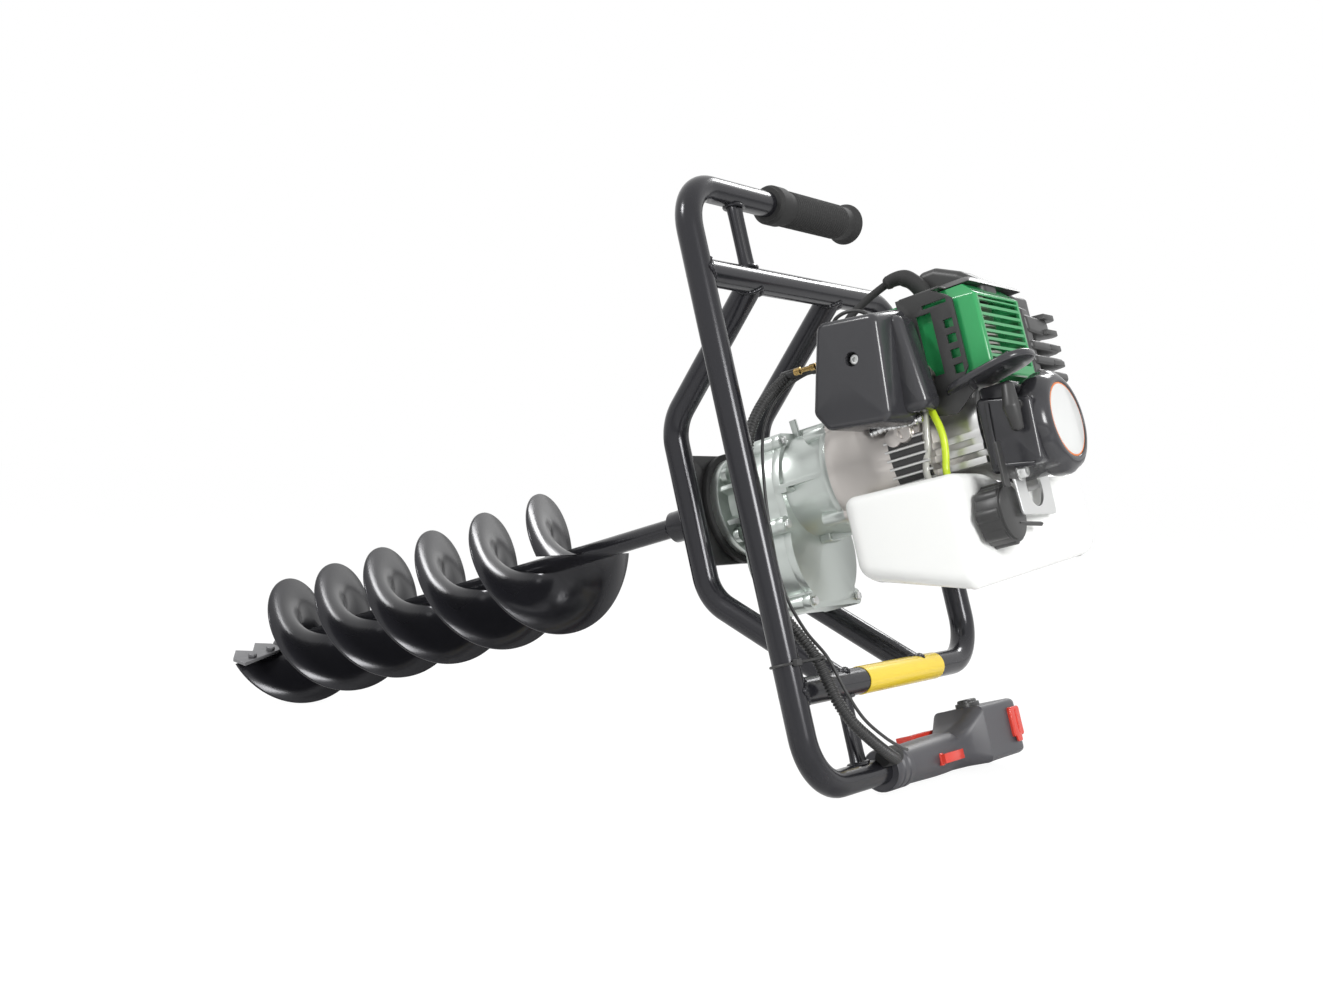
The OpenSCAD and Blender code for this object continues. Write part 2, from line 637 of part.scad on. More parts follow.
module crankcase() color("#b3b4b2") stance() difference() {
    union() {
        translate([0, 0, fan_z2]) cylinder(d = crankcase_d, h = crank_z1 - fan_z2);
        translate([-cyl_x0, -36, fan_z2 + 4]) cube([cyl_x0, 72, crank_z1 - fan_z2 - 8]);
        for (x = [4, 16, 28]) translate([x - 3, -crankcase_d / 2 - 3, fan_z2])
            cube([6, 12, crank_z1 - fan_z2]);
        translate([0, 0, crank_z1 - 10]) cylinder(d = 92, h = 10);
    }
    translate([-cyl_x0 - 20, -50, fan_z2 - 1]) cube([20, 100, crank_z1 - fan_z2 + 2]);
    translate([0, 0, cyl_z - 15]) cylinder(d = 62, h = 30);
    translate([0, 0, fan_z2 - 1]) cylinder(d = crank_d + 2 * run_gap, h = 80);
    translate([-cyl_x0 - 1, 0, cyl_z]) rotate([0, 90, 0]) cylinder(d = bore_d, h = 40);
}
throw = 16;
web_d = 54;
web_t = 8;
rod_t = 10;
module crankshaft() color("#8d9093") stance() {
    translate([0, 0, shoe_z]) cylinder(d = crank_d, h = cyl_z - rod_t / 2 - 2 - shoe_z);
    translate([0, 0, cyl_z + rod_t / 2 + 2]) cylinder(d = crank_d,
        h = starter_z1 - cyl_z - rod_t / 2 - 2);
    for (s = [-1, 1]) translate([0, 0, cyl_z + s * (rod_t + web_t) / 2 - web_t / 2])
        cylinder(d = web_d, h = web_t);
}
plug_thread_d = 14;
fin_x0 = cyl_x0 + 12;
module engine_cylinder() color("#a9abab") stance() difference() {
    translate([0, 0, cyl_z]) rotate([0, -90, 0]) union() {
        translate([0, 0, cyl_x0]) cylinder(d = bore_d + 10, h = plug_x - cyl_x0);
        for (i = [0:8]) translate([0, 0, fin_x0 + i * 8.5]) cylinder(d = fin_d, h = 2.4);
        translate([0, 0, cyl_x0]) cylinder(d = 62, h = 5);
        translate([port_z - cyl_z, -stub_y, port_x]) rotate([-90, 0, 0])
            cylinder(d = 18, h = 2 * stub_y);
    }
    translate([-cyl_x1, 0, cyl_z]) rotate([0, 90, 0]) cylinder(d = bore_d, h = cyl_x1);
    translate([-port_x, -stub_y - 1, port_z]) rotate([-90, 0, 0])
        cylinder(d = 13, h = 2 * stub_y + 2);
    translate([-plug_x - 1, 0, cyl_z]) rotate([0, 90, 0]) cylinder(d = plug_thread_d, h = 20);
    cylinder(d = fan_case_d + 2 * gap, h = fan_z2 + gap);
}
stub_y = 48;
deck = 36;
piston_x = cyl_x1 - deck;
module piston() color("#c3c5c6") stance() translate([0, 0, cyl_z]) rotate([0, -90, 0])
    difference() {
        translate([0, 0, piston_x]) cylinder(d = bore_d - 2 * run_gap, h = 32);
        translate([0, 0, piston_x - 1]) cylinder(d = bore_d - 8, h = 27);
        for (z = [22, 27]) translate([0, 0, piston_x + z]) ring(bore_d + 2, bore_d - 4, 1.6);
    }
// Rod, crank pin and gudgeon pin, held at top dead centre
module connecting_rod() color("#8a8d8f") stance() translate([0, 0, cyl_z]) {
    for (x = [throw, piston_x + 12]) translate([-x, 0, -rod_t / 2])
        cylinder(d = x == throw ? 20 : 18, h = rod_t);
    translate([-piston_x - 12, -5, -3]) cube([piston_x + 12 - throw, 10, 6]);
    translate([-piston_x - 12, 0, -bore_d / 2 + 4.6]) cylinder(d = 8, h = bore_d - 9.2);
}
module spark_plug() color("#c9cbcc") stance() translate([0, 0, cyl_z]) rotate([0, -90, 0]) {
    translate([0, 0, cyl_x1]) cylinder(d = plug_thread_d, h = plug_x - cyl_x1 + 1);
    translate([0, 0, plug_x]) cylinder(d = 19, h = 9, $fn = 6);
    translate([0, 0, plug_x + 8]) cylinder(d = 12, h = 7);
    translate([0, 0, plug_x + 14]) cylinder(d = 9, h = 13);
}
// Elbow boot over the plug, with its lead down to the coil
boot_x = plug_x + 15;
module plug_boot_lead() color("#151515") stance() {
    difference() {
        hull() {
            translate([-boot_x - 1, 0, cyl_z]) rotate([0, -90, 0])
                cylinder(d = 18, h = 14, $fn = 24);
            translate([-boot_x - 10, -12, cyl_z - 14]) sphere(d = 17, $fn = soft_fn);
            translate([-boot_x - 18, -22, cyl_z - 24]) sphere(d = 11, $fn = soft_fn);
        }
        translate([-boot_x + 1, 0, cyl_z]) rotate([0, -90, 0])
            cylinder(d = 9, h = 14.5, $fn = 24);
    }
    pts = curve_pts(lead_pts, 3);
    sweep_tube(pts, [for (p = pts) 3.2], 8);
}
module ignition_coil() color("#232426") stance() {
    translate([-78, -coil_w / 2, slot_z - 2]) cube([25, coil_w, 14]);
    translate([-80, -11, slot_z - 4]) cube([22, 22, 19]);
}

// Muffler can and its black cover
muff_z0 = 205;
muff_z1 = 262;
muff_x0 = 38;
muff_x1 = 106;
muff_hole = [-81, 226];
module muffler() color("#6f6d6a") stance() difference() {
    union() {
        translate([-muff_x1, muff_y + 10, muff_z0])
            cube([muff_x1 - muff_x0, 19, muff_z1 - 10 - muff_z0]);
        translate([-muff_x1, muff_y + 29, muff_z0]) cube([muff_x1 - muff_x0, 19, muff_z1 - muff_z0]);
        translate([-muff_x1 - 2, muff_y + 26, muff_z0 - 2])
            cube([muff_x1 - muff_x0 + 4, 3, muff_z1 - 4 - muff_z0]);
        translate([-port_x, muff_y + 40, port_z]) rotate([-90, 0, 0])
            cylinder(d = 16, h = -muff_y - 40 - stub_y);
    }
    translate([-port_x, muff_y + 44, port_z]) rotate([-90, 0, 0]) cylinder(d = 13, h = 40);
    translate([muff_hole[0], muff_y, muff_hole[1]]) rotate([-90, 0, 0]) cylinder(d = 5, h = 60);
}
module muffler_cover() color("#222326") stance() difference() {
    union() {
        hull() {
            for (p = [[-116, 206], [-44, 186], [-31, 193], [-25, 257], [-109, 266]])
                translate([p[0], muff_y + 5, p[1]]) sphere(r = 5, $fn = soft_fn);
            for (p = [[-122, 206], [-38, 188], [-28, 196], [-22, 270], [-118, 278]])
                translate([p[0], muff_back - 3, p[1]]) sphere(r = 3, $fn = 12);
        }
        hull() for (p = [[-112, 274], [-34, 266]]) for (q = [0, 26])
            translate([p[0], muff_back - 8 - q, p[1] + 4 - q / 6]) sphere(r = 8, $fn = soft_fn);
    }
    hull() for (p = [[-112, 203], [-42, 192], [-33, 200]]) for (y = [muff_y + 5, muff_back + 4]) {
        translate([p[0], y, p[1]]) sphere(r = 2, $fn = 12);
        translate([-30, y, y < -80 ? 256 : 269]) sphere(r = 2, $fn = 12);
        translate([-111, y, y < -80 ? 262 : 275]) sphere(r = 2, $fn = 12);
    }
    translate([muff_hole[0], muff_y - 5, muff_hole[1]]) rotate([-90, 0, 0])
        cylinder(d = 13, h = 20);
}
// Slotted shield between the muffler and the cylinder cover, in one piece with the top shroud
shield_y = -52.4;
module shield_plate() {
    difference() {
        translate([0, shield_y + 2.4, 0]) rotate([90, 0, 0]) linear_extrude(2.4)
            polygon([[-30, 255], [-144, 250], [-144, 284], [-130, 299], [-122, 304], [-62, 304],
                [-57, 300], [-46, 300], [-41, 304], [-26, 284]]);
        for (x = [-102, -90, -78, -66]) translate([x, shield_y - 2, 291]) cube([7, 8, 9]);
        translate([-112, shield_y - 2, 266]) cube([50, 8, 15]);
        translate([-125, shield_y - 2, 274]) cube([6, 8, 24]);
        translate([-port_x, shield_y - 2, port_z]) rotate([-90, 0, 0]) cylinder(d = 24, h = 8);
    }
}
module muffler_screws() color("#b9bcbd") stance() {
    translate([muff_hole[0], muff_y + 10, muff_hole[1]]) rotate([90, 0, 0]) difference() {
        union() {
            cylinder(d = 9, h = 5);
            translate([0, 0, -34]) cylinder(d = 5, h = 35);
        }
        translate([0, 0, 2]) cylinder(d = 4.5, h = 6, $fn = 6);
    }
}

// Green cylinder cover with a slatted outlet towards the starter
cover_y = 47;
cover_z1 = 324;
cover_x0 = 52;
cover_x1 = 142;
module cylinder_cover() color("#1f8f47") stance() difference() {
    hull() for (s = [-1, 1]) {
        for (z = [cyl_z - 36, cover_z1 - 3])
            translate([-cover_x0 - 3, s * (cover_y - 3), z]) sphere(r = 3, $fn = 12);
        for (z = [cyl_z - 36, cover_z1 - 14])
            translate([-cover_x1 + 4, s * (cover_y - 8), z]) sphere(r = 3, $fn = 12);
        translate([-cover_x1 + 22, s * (cover_y - 3), cover_z1 - 3]) sphere(r = 3, $fn = 12);
        translate([-cover_x1 + 12, s * (cover_y - 4), cyl_z - 36]) sphere(r = 3, $fn = 12);
    }
    translate([-cover_x1 + 14, -cover_y + 3, cyl_z - 60]) cube([cover_x1, 2 * cover_y - 6, 107]);
    translate([-cover_x1 + 6, -cover_y + 12, cyl_z - 60])
        cube([cover_x1, 2 * cover_y - 24, 92]);
    for (i = [0:8]) translate([-cover_x1 + 24 + i * 6.6, -cover_y + 6, cover_z1 - 8])
        cube([4.2, 2 * cover_y - 12, 20]);
    translate([-cover_x1 - 1, 0, cyl_z]) rotate([0, 90, 0]) cylinder(d = 26, h = 30);
    translate([-port_x, -cover_y - 1, port_z]) rotate([-90, 0, 0])
        cylinder(d = 24, h = 2 * cover_y + 2);
}

// Black shroud over the cylinder's top
shroud_x = 147;
module top_shroud() color("#1b1c1e") stance() {
    difference() {
        hull() for (s = [-1, 1]) for (z = [cyl_z - 32, cyl_z + 42]) {
            translate([-cover_x1 + 1, s > 0 ? 70 : -38, z]) sphere(r = 3, $fn = 12);
            translate([-shroud_x, s > 0 ? 60 : -24, z + (z > cyl_z ? -8 : 8)])
                sphere(r = 8, $fn = 16);
        }
        translate([-cover_x1, -60, cyl_z - 70]) cube([60, 140, 140]);
        translate([-shroud_x - 4, -26, cyl_z - 30]) cube([30, 86, 64]);
        translate([-shroud_x - 20, -60, cyl_z - 74]) cube([60, 76, 86]);
    }
    translate([-cover_x1 - 3, shield_y, cyl_z + 14]) cube([3, 40, 6]);
    translate([-cover_x1 - 3, shield_y, cyl_z - 20]) cube([3, 2.4, 40]);
    shield_plate();
}

// Ribbed deflector plate between the cylinder cover and the starter
baffle_x = 51;
module baffle_plate() color("#17181a") stance() difference() {
    union() {
        hull() {
            translate([-baffle_x, -24, 262]) rotate([0, 90, 0]) cylinder(d = 44, h = 3);
            translate([-baffle_x, -30, 338]) rotate([0, 90, 0]) cylinder(d = 26, h = 3);
            translate([-baffle_x, 30, 334]) rotate([0, 90, 0]) cylinder(d = 26, h = 3);
            translate([-baffle_x, 30, 262]) rotate([0, 90, 0]) cylinder(d = 36, h = 3);
        }
        for (z = [318, 328, 338]) translate([-baffle_x + 2, -36, z]) cube([2, 72, 2]);
    }
    translate([-baffle_x - 10, 0, cyl_z]) rotate([0, 90, 0]) cylinder(d = fin_d + 2 * gap, h = 20);
    translate([-baffle_x - 10, -30, 342]) rotate([0, 90, 0]) cylinder(d = 5, h = 20);
    cylinder(d = fan_case_d + 2 * gap, h = fan_z2 + gap);
}

// Carburettor, air cleaner and their levers on the far side
carb_y = stub_y;
lever_pin_d = 5;
lever_y = carb_y + 21;
lever_x = -port_x - 18 - 5 - gap;
module carburettor() color("#9a9c9d") stance() difference() {
    union() {
        translate([-port_x - 16, carb_y, port_z - 14]) cube([32, 8, 28]);
        translate([-port_x - 18, carb_y + 8, port_z - 16]) cube([36, 26, 32]);
        translate([-port_x, lever_y, port_z + 16]) cylinder(d = 18, h = 7);
        translate([-port_x - 17, lever_y, port_z]) rotate([0, -90, 0]) cylinder(d = 12, h = 6);
    }
    translate([-port_x, 0, port_z]) rotate([-90, 0, 0]) cylinder(d = 13, h = 200);
    translate([-port_x - 40, lever_y, port_z]) rotate([0, 90, 0])
        cylinder(d = lever_pin_d + 2 * run_gap, h = 32);
}
module throttle_lever() color("#b9bcbd") stance() translate([lever_x, lever_y, port_z]) {
    rotate([0, -90, 0]) cylinder(d = 11, h = 3);
    translate([-3, -2.5, -20]) cube([3, 5, 20]);
    translate([-0.1, 0, 0]) rotate([0, 90, 0]) cylinder(d = lever_pin_d, h = 13);
}
module primer_bulb() color("#d8d5c4") stance()
    translate([-port_x, lever_y, port_z + 23 + gap]) difference() {
        union() {
            cylinder(d = 15, h = 2);
            intersection() {
                translate([0, 0, 1]) sphere(d = 14);
                cylinder(d = 16, h = 20);
            }
        }
        translate([0, 0, -0.1]) cylinder(d = 8, h = 4);
    }
air_y0 = carb_y + 34;
air_y1 = 118;
air_z0 = cyl_z - 40;
module air_cleaner() color("#1b1c1e") stance() {
    difference() {
        translate([-134, air_y0, air_z0]) soft_block([90, air_y1 - air_y0, 72], 6);
        translate([-128, air_y0 + 6, air_z0 + 6]) cube([78, air_y1 - air_y0 - 12, 60]);
        translate([-port_x, air_y0 - 1, port_z]) rotate([-90, 0, 0]) cylinder(d = 13, h = 9);
    }
    for (i = [0:3]) translate([-109 + i * 15.3, 0, 0]) hull() {
        translate([0, air_y0 + 8, air_z0 + 68]) cube([5, air_y1 - air_y0 - 14, 6]);
        translate([0, air_y1 + 2, cyl_z + 45]) rotate([0, 90, 0]) cylinder(d = 12, h = 5, $fn = 16);
        translate([0, air_y0 + 16, cyl_z + 47]) cube([5, 10, 4]);
    }
}
choke_pin_z = air_z0 + 14;
module choke_lever() color("#c8281e") stance()
    translate([-134 - gap, air_y0 + 12, choke_pin_z]) {
        rotate([0, -90, 0]) cylinder(d = 12, h = 4);
        translate([-4, -3, -26]) cube([4, 6, 26]);
    }

// Fuel tank
tank_top = [32, 32, 36, 48];
tank_bottom = [107, 102, 141, 120];
module tank_form(inset, r) {
    hull() for (k = [0:3]) {
        far = k > 1;
        y = (k % 2 == 0 ? -1 : 1) * (tank_y - r - inset);
        z = far ? (k == 2 ? tank_z1 : tank_z2) - r - inset : tank_z0 + r + inset;
        translate([tank_top[k] + r + inset, y, z]) sphere(r = r, $fn = soft_fn);
        translate([tank_bottom[k] - r - inset, y, z]) sphere(r = r, $fn = soft_fn);
    }
}
// Room for the engine above the tank, grown by e
module saddle(e) {
    translate([0, 0, 100]) cylinder(d = fan_case_d + 4 + 2 * e, h = 152);
    translate([starter_x, 0, 100]) cylinder(d = starter_d + 12 + 2 * e, h = 300);
}
cap_z = tank_z1 + 8;
neck_d_out = cap_d - 14;
module cap_seat(e) {
    translate([cap_x, cap_y, cap_z - gap - e]) cylinder(d = cap_d + 14 + 2 * e, h = 60);
}
module fuel_tank() color("#f4f5f2") stance() difference() {
    union() {
        difference() {
            tank_form(0, tank_r);
            cap_seat(0);
        }
        translate([cap_x, cap_y, tank_z1 - 12]) cylinder(d = neck_d_out, h = cap_z + 24 - tank_z1);
    }
    difference() {
        tank_form(tank_wall, tank_r - tank_wall);
        saddle(tank_wall);
        cap_seat(tank_wall);
    }
    saddle(0);
    translate([cap_x, cap_y, tank_z1 - 22]) cylinder(d = neck_d_out - 8, h = 60);
    for (z = [260, 271]) translate([20, -75, z]) rotate([0, 90, 0]) cylinder(d = 8, h = 24);
}
module fuel_cap() color("#161718") stance() translate([cap_x, cap_y, cap_z]) difference() {
    union() {
        cylinder(d = cap_d, h = cap_t - 4);
        cylinder(d = cap_d - 4, h = cap_t - 2);
        for (i = [0:7]) rotate(i * 45) translate([cap_d / 2 - 5, 0, 0])
            cylinder(d = 14, h = cap_t - 5);
    }
    translate([0, 0, -1]) cylinder(d = neck_d_out + 2 * gap, h = 16);
}
module fuel_lines() color("#b9cf1d") stance() {
    for (z = [260, 271]) translate([26, -75, z]) rotate([0, 90, 0]) cylinder(d = 8, h = 12);
    for (p = [fuel_pts_a, fuel_pts_b]) {
        pts = curve_pts(p, 4);
        sweep_tube(pts, [for (q = pts) 2.6], 8);
    }
}
bracket_z = 319;
module tank_bracket() color("#b4bcc0") stance() difference() {
    translate([40, -44, bracket_z]) cube([36, 66, 2.5]);
    translate([starter_x, 0, bracket_z - 1]) cylinder(d = starter_d + 0.1, h = 6);
    translate([61, -12, bracket_z - 1]) cylinder(d = 22, h = 6);
}

// Recoil starter
pull_y = -50;
pull_z = 338;
rope_d = 4;
module starter_case() color("#161719") stance() difference() {
    union() {
        translate([starter_x, 0, crank_z1]) cylinder(d = starter_d, h = starter_z1 - crank_z1 + 9);
        translate([starter_x, 0, starter_z1 + 8.9]) cylinder(d1 = starter_d, d2 = starter_d - 14,
            h = starter_z2 - starter_z1 - 8.9);
        for (i = [0:7]) translate([starter_x, 0, starter_z1 - 6]) rotate(22.5 + i * 45)
            translate([starter_d / 2 - 5, 0, 0]) cylinder(d = 20, h = 16);
        translate([-22, pull_y + 5, crank_z1 + 4]) cube([44, 30, 44]);
        translate([-36, -30, crank_z1]) cube([26, 60, 30]);
        translate([0, pull_y + 2.1, pull_z]) rotate([-90, 0, 0]) cylinder(d = 15, h = 8);
    }
    translate([0, 0, crank_z1 - 1]) cylinder(d = 74, h = starter_z1 - crank_z1 + 5);
    translate([0, pull_y, pull_z]) rotate([-90, 0, 0]) cylinder(d = 9, h = 30);
    translate([starter_x, 0, starter_z2 - 1.2]) cylinder(d = 68, h = 4);
}
pulley_z = pull_z - 6;
module starter_pulley() color("#d9d9d4") stance() translate([0, 0, pulley_z]) difference() {
    union() {
        cylinder(d = 66, h = 3);
        cylinder(d = 54, h = 11);
        translate([0, 0, 9]) cylinder(d = 66, h = 3);
    }
    translate([0, 0, -1]) cylinder(d = crank_d, h = 18);
}
// Pull grip with the stub of its rope
module starter_grip() color("#131314") stance() translate([0, pull_y - 8.7, pull_z]) {
    hull() {
        translate([-24, 0, 0]) sphere(d = 11, $fn = soft_fn);
        translate([28, 0, 0]) sphere(d = 11, $fn = soft_fn);
        translate([2, -3, 0]) sphere(d = 15, $fn = soft_fn);
    }
    translate([0, 4, 0]) rotate([-90, 0, 0]) cylinder(d = 13, h = 6.5);
    translate([0, 8, 0]) rotate([-90, 0, 0]) cylinder(d = rope_d, h = 20);
}

// Throttle handle, seen with its bottom towards plus X
module throttle_housing() color("#26272a") stance() translate([handle_x, 0, frame_z])
    difference() {
        union() {
            hull() {
                translate([0, throttle_y0, 0]) rotate([-90, 0, 0])
                    cylinder(r = 17, h = 10, $fn = 32);
                translate([0, head_y0, 2]) rotate([-90, 0, 0])
                    cylinder(r = throttle_r, h = 10, $fn = 32);
            }
            hull() {
                translate([0, 60, 4]) rotate([-90, 0, 0])
                    cylinder(r = throttle_r, h = 10, $fn = 32);
                for (x = [-36, 14], z = [-12, 32]) translate([x, head_y0 + 16, z])
                    sphere(r = 5, $fn = 12);
                for (x = [-36, 14], z = [-12, 32]) translate([x + 1, throttle_y1 - 5, z])
                    sphere(r = 5, $fn = 12);
            }
            for (i = [0:2]) translate([0, throttle_y0 + 4 + i * 9, 0]) rotate([-90, 0, 0])
                cylinder(r = 18.6, h = 4);
            translate([-12, throttle_y0 - 2, 14]) rotate([-90, 0, 0]) cylinder(d = conduit_d + 7, h = 16);
        }
        translate([0, throttle_y0 - 3, 0]) rotate([-90, 0, 0])
            cylinder(d = tube_d + 2 * run_gap, h = handle_len - bar_off - throttle_y0 + 4);
        translate([-24, head_y0 - 10, -40]) cube([12, 80, 36]);
        translate([-2, head_y0 - 60, 14]) cube([12, 50, 20]);
        translate([-50, head_y0 + 21.4, 3.4]) cube([22, 27.2, 17.2]);
        translate([-30, throttle_y1 - 24, 26]) cube([34, 26, 20]);
    }
trigger_y = head_y0 + 20;
module trigger() color("#d6322a") stance()
    translate([handle_x - 18, trigger_y, frame_z - 14]) difference() {
        union() {
            rotate([0, 90, 0]) cylinder(d = 10, h = 8, center = true);
            translate([-4, -52, -16]) cube([8, 54, 12]);
            translate([-4, -52, -22]) cube([8, 12, 10]);
        }
        rotate([0, 90, 0]) cylinder(d = 3, h = 30, center = true);
        translate([-10, -40, -14]) cube([20, 30, 6]);
    }
module safety_lever() color("#d6322a") stance()
    translate([handle_x + 4, head_y0 - 36, frame_z + 20]) {
        translate([-4.5, -20, -3]) cube([9, 40, 8]);
        translate([0, -18, -0.5]) rotate([0, 90, 0]) cylinder(d = 5, h = 11.4, center = true);
    }
module lock_button() color("#17181a") stance()
    translate([handle_x - 44, head_y0 + 35, frame_z + 12]) {
        translate([-1, -10, -6]) cube([12, 20, 12]);
        translate([-4, -13, -8]) cube([4, 26, 16]);
    }
module stop_switch() color("#e0352b") stance()
    translate([handle_x - 13, throttle_y1 - 11, frame_z + 33]) {
        rotate([0, 90, 0]) cylinder(d = 8, h = 33.4, center = true);
        translate([-15, -11, 0]) cube([30, 22, 8]);
        translate([8, -8, 5.4]) cube([13, 12, 2.6]);
    }
// Corrugated conduit of the throttle cable, with the connector at its end
module throttle_conduit() color("#18191a") stance() {
    route = curve_pts(conduit_pts, 12);
    sweep_tube(route, [for (i = [0:len(route) - 1]) conduit_d / 2 - (i % 2 == 0 ? 0 : 1)], 8);
    translate([-94, -74, 137]) rotate([0, 12, 0]) translate([-4, -4, -2]) cube([8, 8, 52]);
}

main_bar();
guard_bar();
carriers();
frame_gussets();
mount_plate();
vibration_ring();
hand_grip();
marker_sleeve();
gear_case();
gear_cover();
gear_cover_bolts();
flange_bolts();
output_seal();
gearbox_bearings();
output_shaft();
countershaft();
low_gear();
idler_gear();
high_gear();
clutch_drum();
auger_shaft();
auger_flights();
cutter_blades();
cutter_bolts();
drive_pin();
fan_case();
clutch_shoes();
flywheel();
crankcase();
crankshaft();
engine_cylinder();
piston();
connecting_rod();
spark_plug();
plug_boot_lead();
ignition_coil();
muffler();
muffler_cover();
muffler_screws();
cylinder_cover();
top_shroud();
baffle_plate();
carburettor();
throttle_lever();
primer_bulb();
air_cleaner();
choke_lever();
fuel_tank();
fuel_cap();
fuel_lines();
tank_bracket();
starter_case();
starter_pulley();
starter_grip();
throttle_housing();
trigger();
safety_lever();
lock_button();
stop_switch();
throttle_conduit();
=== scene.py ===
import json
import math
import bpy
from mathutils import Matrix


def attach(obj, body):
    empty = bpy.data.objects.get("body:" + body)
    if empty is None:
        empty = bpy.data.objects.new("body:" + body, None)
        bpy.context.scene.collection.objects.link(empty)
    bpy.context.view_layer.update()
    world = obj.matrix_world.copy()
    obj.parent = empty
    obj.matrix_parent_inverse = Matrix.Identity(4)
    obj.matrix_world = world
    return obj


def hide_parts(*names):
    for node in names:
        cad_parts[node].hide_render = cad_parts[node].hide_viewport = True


bl_info = {
    "name": "Earth Auger Looks",
    "version": (1, 0, 0),
    "blender": (4, 5, 0),
    "location": "View3D > Sidebar > Auger",
    "description": "Surfaces and finishes for the packed model of a petrol earth auger",
    "category": "Object",
}

import bmesh
import bpy
import numpy as np
from mathutils import Matrix, Vector

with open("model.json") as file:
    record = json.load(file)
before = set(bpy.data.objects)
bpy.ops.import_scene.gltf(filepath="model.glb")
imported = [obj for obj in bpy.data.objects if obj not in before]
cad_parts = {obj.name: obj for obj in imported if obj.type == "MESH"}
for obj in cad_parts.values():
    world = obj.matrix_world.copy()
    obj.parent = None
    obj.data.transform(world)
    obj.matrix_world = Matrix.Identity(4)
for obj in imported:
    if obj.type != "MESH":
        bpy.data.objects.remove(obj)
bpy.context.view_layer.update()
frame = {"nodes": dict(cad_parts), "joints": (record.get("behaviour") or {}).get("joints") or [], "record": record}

MM = 0.001
RECORD = frame["record"]
JOINTS = {joint["name"]: joint for joint in frame["joints"]}
MOUNTS = {mount["name"]: mount for mount in RECORD["mounts"]}
# In degrees: a dressed node rounds its edges above the first, and shading keeps an edge sharp
# above the second
SHARP_ANGLE = 30
SMOOTH_ANGLE = 40

# Machine axes: Z along the auger towards the engine, X towards the throttle handle,
# Y from the main bar towards the free ends of the handles. Places are in millimetres.
ORIGIN = np.array(JOINTS["auger_spin"]["pos_m"])
AXIS_Z = np.array(JOINTS["auger_spin"]["axis"])
AXIS_X = np.array(JOINTS["trigger_press"]["axis"])
AXES = np.array([AXIS_X, np.cross(AXIS_Z, AXIS_X), AXIS_Z])
EX, EY, EZ = (1, 0, 0), (0, 1, 0), (0, 0, 1)
XYZ, XZY, YZX = (EX, EY, EZ), (EX, EZ, EY), (EY, EZ, EX)
# A direction that no route of this machine follows
TILTED = (0.13, 0.31, 0.94)
TUBE_R = MOUNTS["main_tube"]["dims"]["r_mm"]


def row(points):
    """Machine place to row frame: the origin plus each coordinate along its own axis, in metres."""
    return ORIGIN + MM * np.asarray(points, float) @ AXES


def machine(points):
    """Row frame to machine place: the offset from the origin measured along each machine axis."""
    return (np.asarray(points, float) - ORIGIN) @ AXES.T / MM


BAR_Y, FRAME_Z = machine(MOUNTS["main_tube"]["pos_m"])[1:]
GUARD_Y = machine(MOUNTS["guard_tube"]["pos_m"])[1]


def node_box(node):
    """Lowest and highest corner of a CAD node in machine axes, in millimetres."""
    mesh = frame["nodes"][node].data
    co = np.empty(len(mesh.vertices) * 3, np.float32)
    mesh.vertices.foreach_get("co", co)
    local = machine(co.reshape(-1, 3))
    return local.min(0), local.max(0)


HANDLE_X = node_box("main_bar")[1][0] - TUBE_R
HANDLE_END = node_box("main_bar")[1][1]
GUARD_X = node_box("guard_bar")[1][0] - TUBE_R
# The frame's bends and the straight middle of the carriers
BEND_R = 46.0
CARRIER_RUN = 86.0
CARRIER_Y = node_box("carriers")[1][1] - TUBE_R
# The flights: rim, height of one turn, both ends along z, degrees at the top, and thickness
FLIGHT_R = 78.0
FLIGHT_LEAD = 168.0
FLIGHT_TOP = -198.0
FLIGHT_TIP = -696.0
FLIGHT_TURN = 89.0
FLIGHT_T = 3.6
SHAFT_R = 10.0


def unit(v):
    """Vectors scaled to length one along the last axis."""
    v = np.asarray(v, float)
    return v / np.linalg.norm(v, axis=-1, keepdims=True)


def grid_faces(levels, around):
    """Quads between neighbours of a grid of levels by points around, which close on themselves."""
    u = np.arange(levels - 1)[:, None] * around
    v = np.arange(around)[None, :]
    w = (v + 1) % around
    return np.stack([u + v, u + w, u + w + around, u + v + around], -1).reshape(-1, 4)


def shell(rings):
    """Closed skin over rings of points: quads between the rings, a fan of triangles on each end."""
    rings = np.asarray(rings, float)
    levels, around, _ = rings.shape
    ends = np.stack([rings[0].mean(0), rings[-1].mean(0)])
    verts = np.concatenate([rings.reshape(-1, 3), ends])
    k = np.arange(around)
    after = (k + 1) % around
    last = (levels - 1) * around
    first_fan = np.stack([np.full(around, levels * around), after, k], -1)
    last_fan = np.stack([np.full(around, levels * around + 1), last + k, last + after], -1)
    return verts, grid_faces(levels, around).tolist() + first_fan.tolist() + last_fan.tolist()


def joined(parts):
    """Several skins as one: the points end to end, and each face's numbers moved on to match."""
    verts = np.concatenate([p[0] for p in parts])
    starts = np.cumsum([0] + [len(p[0]) for p in parts[:-1]])
    faces = [[i + int(s) for i in f] for p, s in zip(parts, starts) for f in p[1]]
    return verts, faces


def side_vectors(path, reference):
    """Two unit vectors square to the path at each point: the first is square to the reference
    too, and the second to the first."""
    tangent = unit(np.gradient(path, axis=0))
    side = unit(np.cross(reference, tangent))
    return side, np.cross(tangent, side)


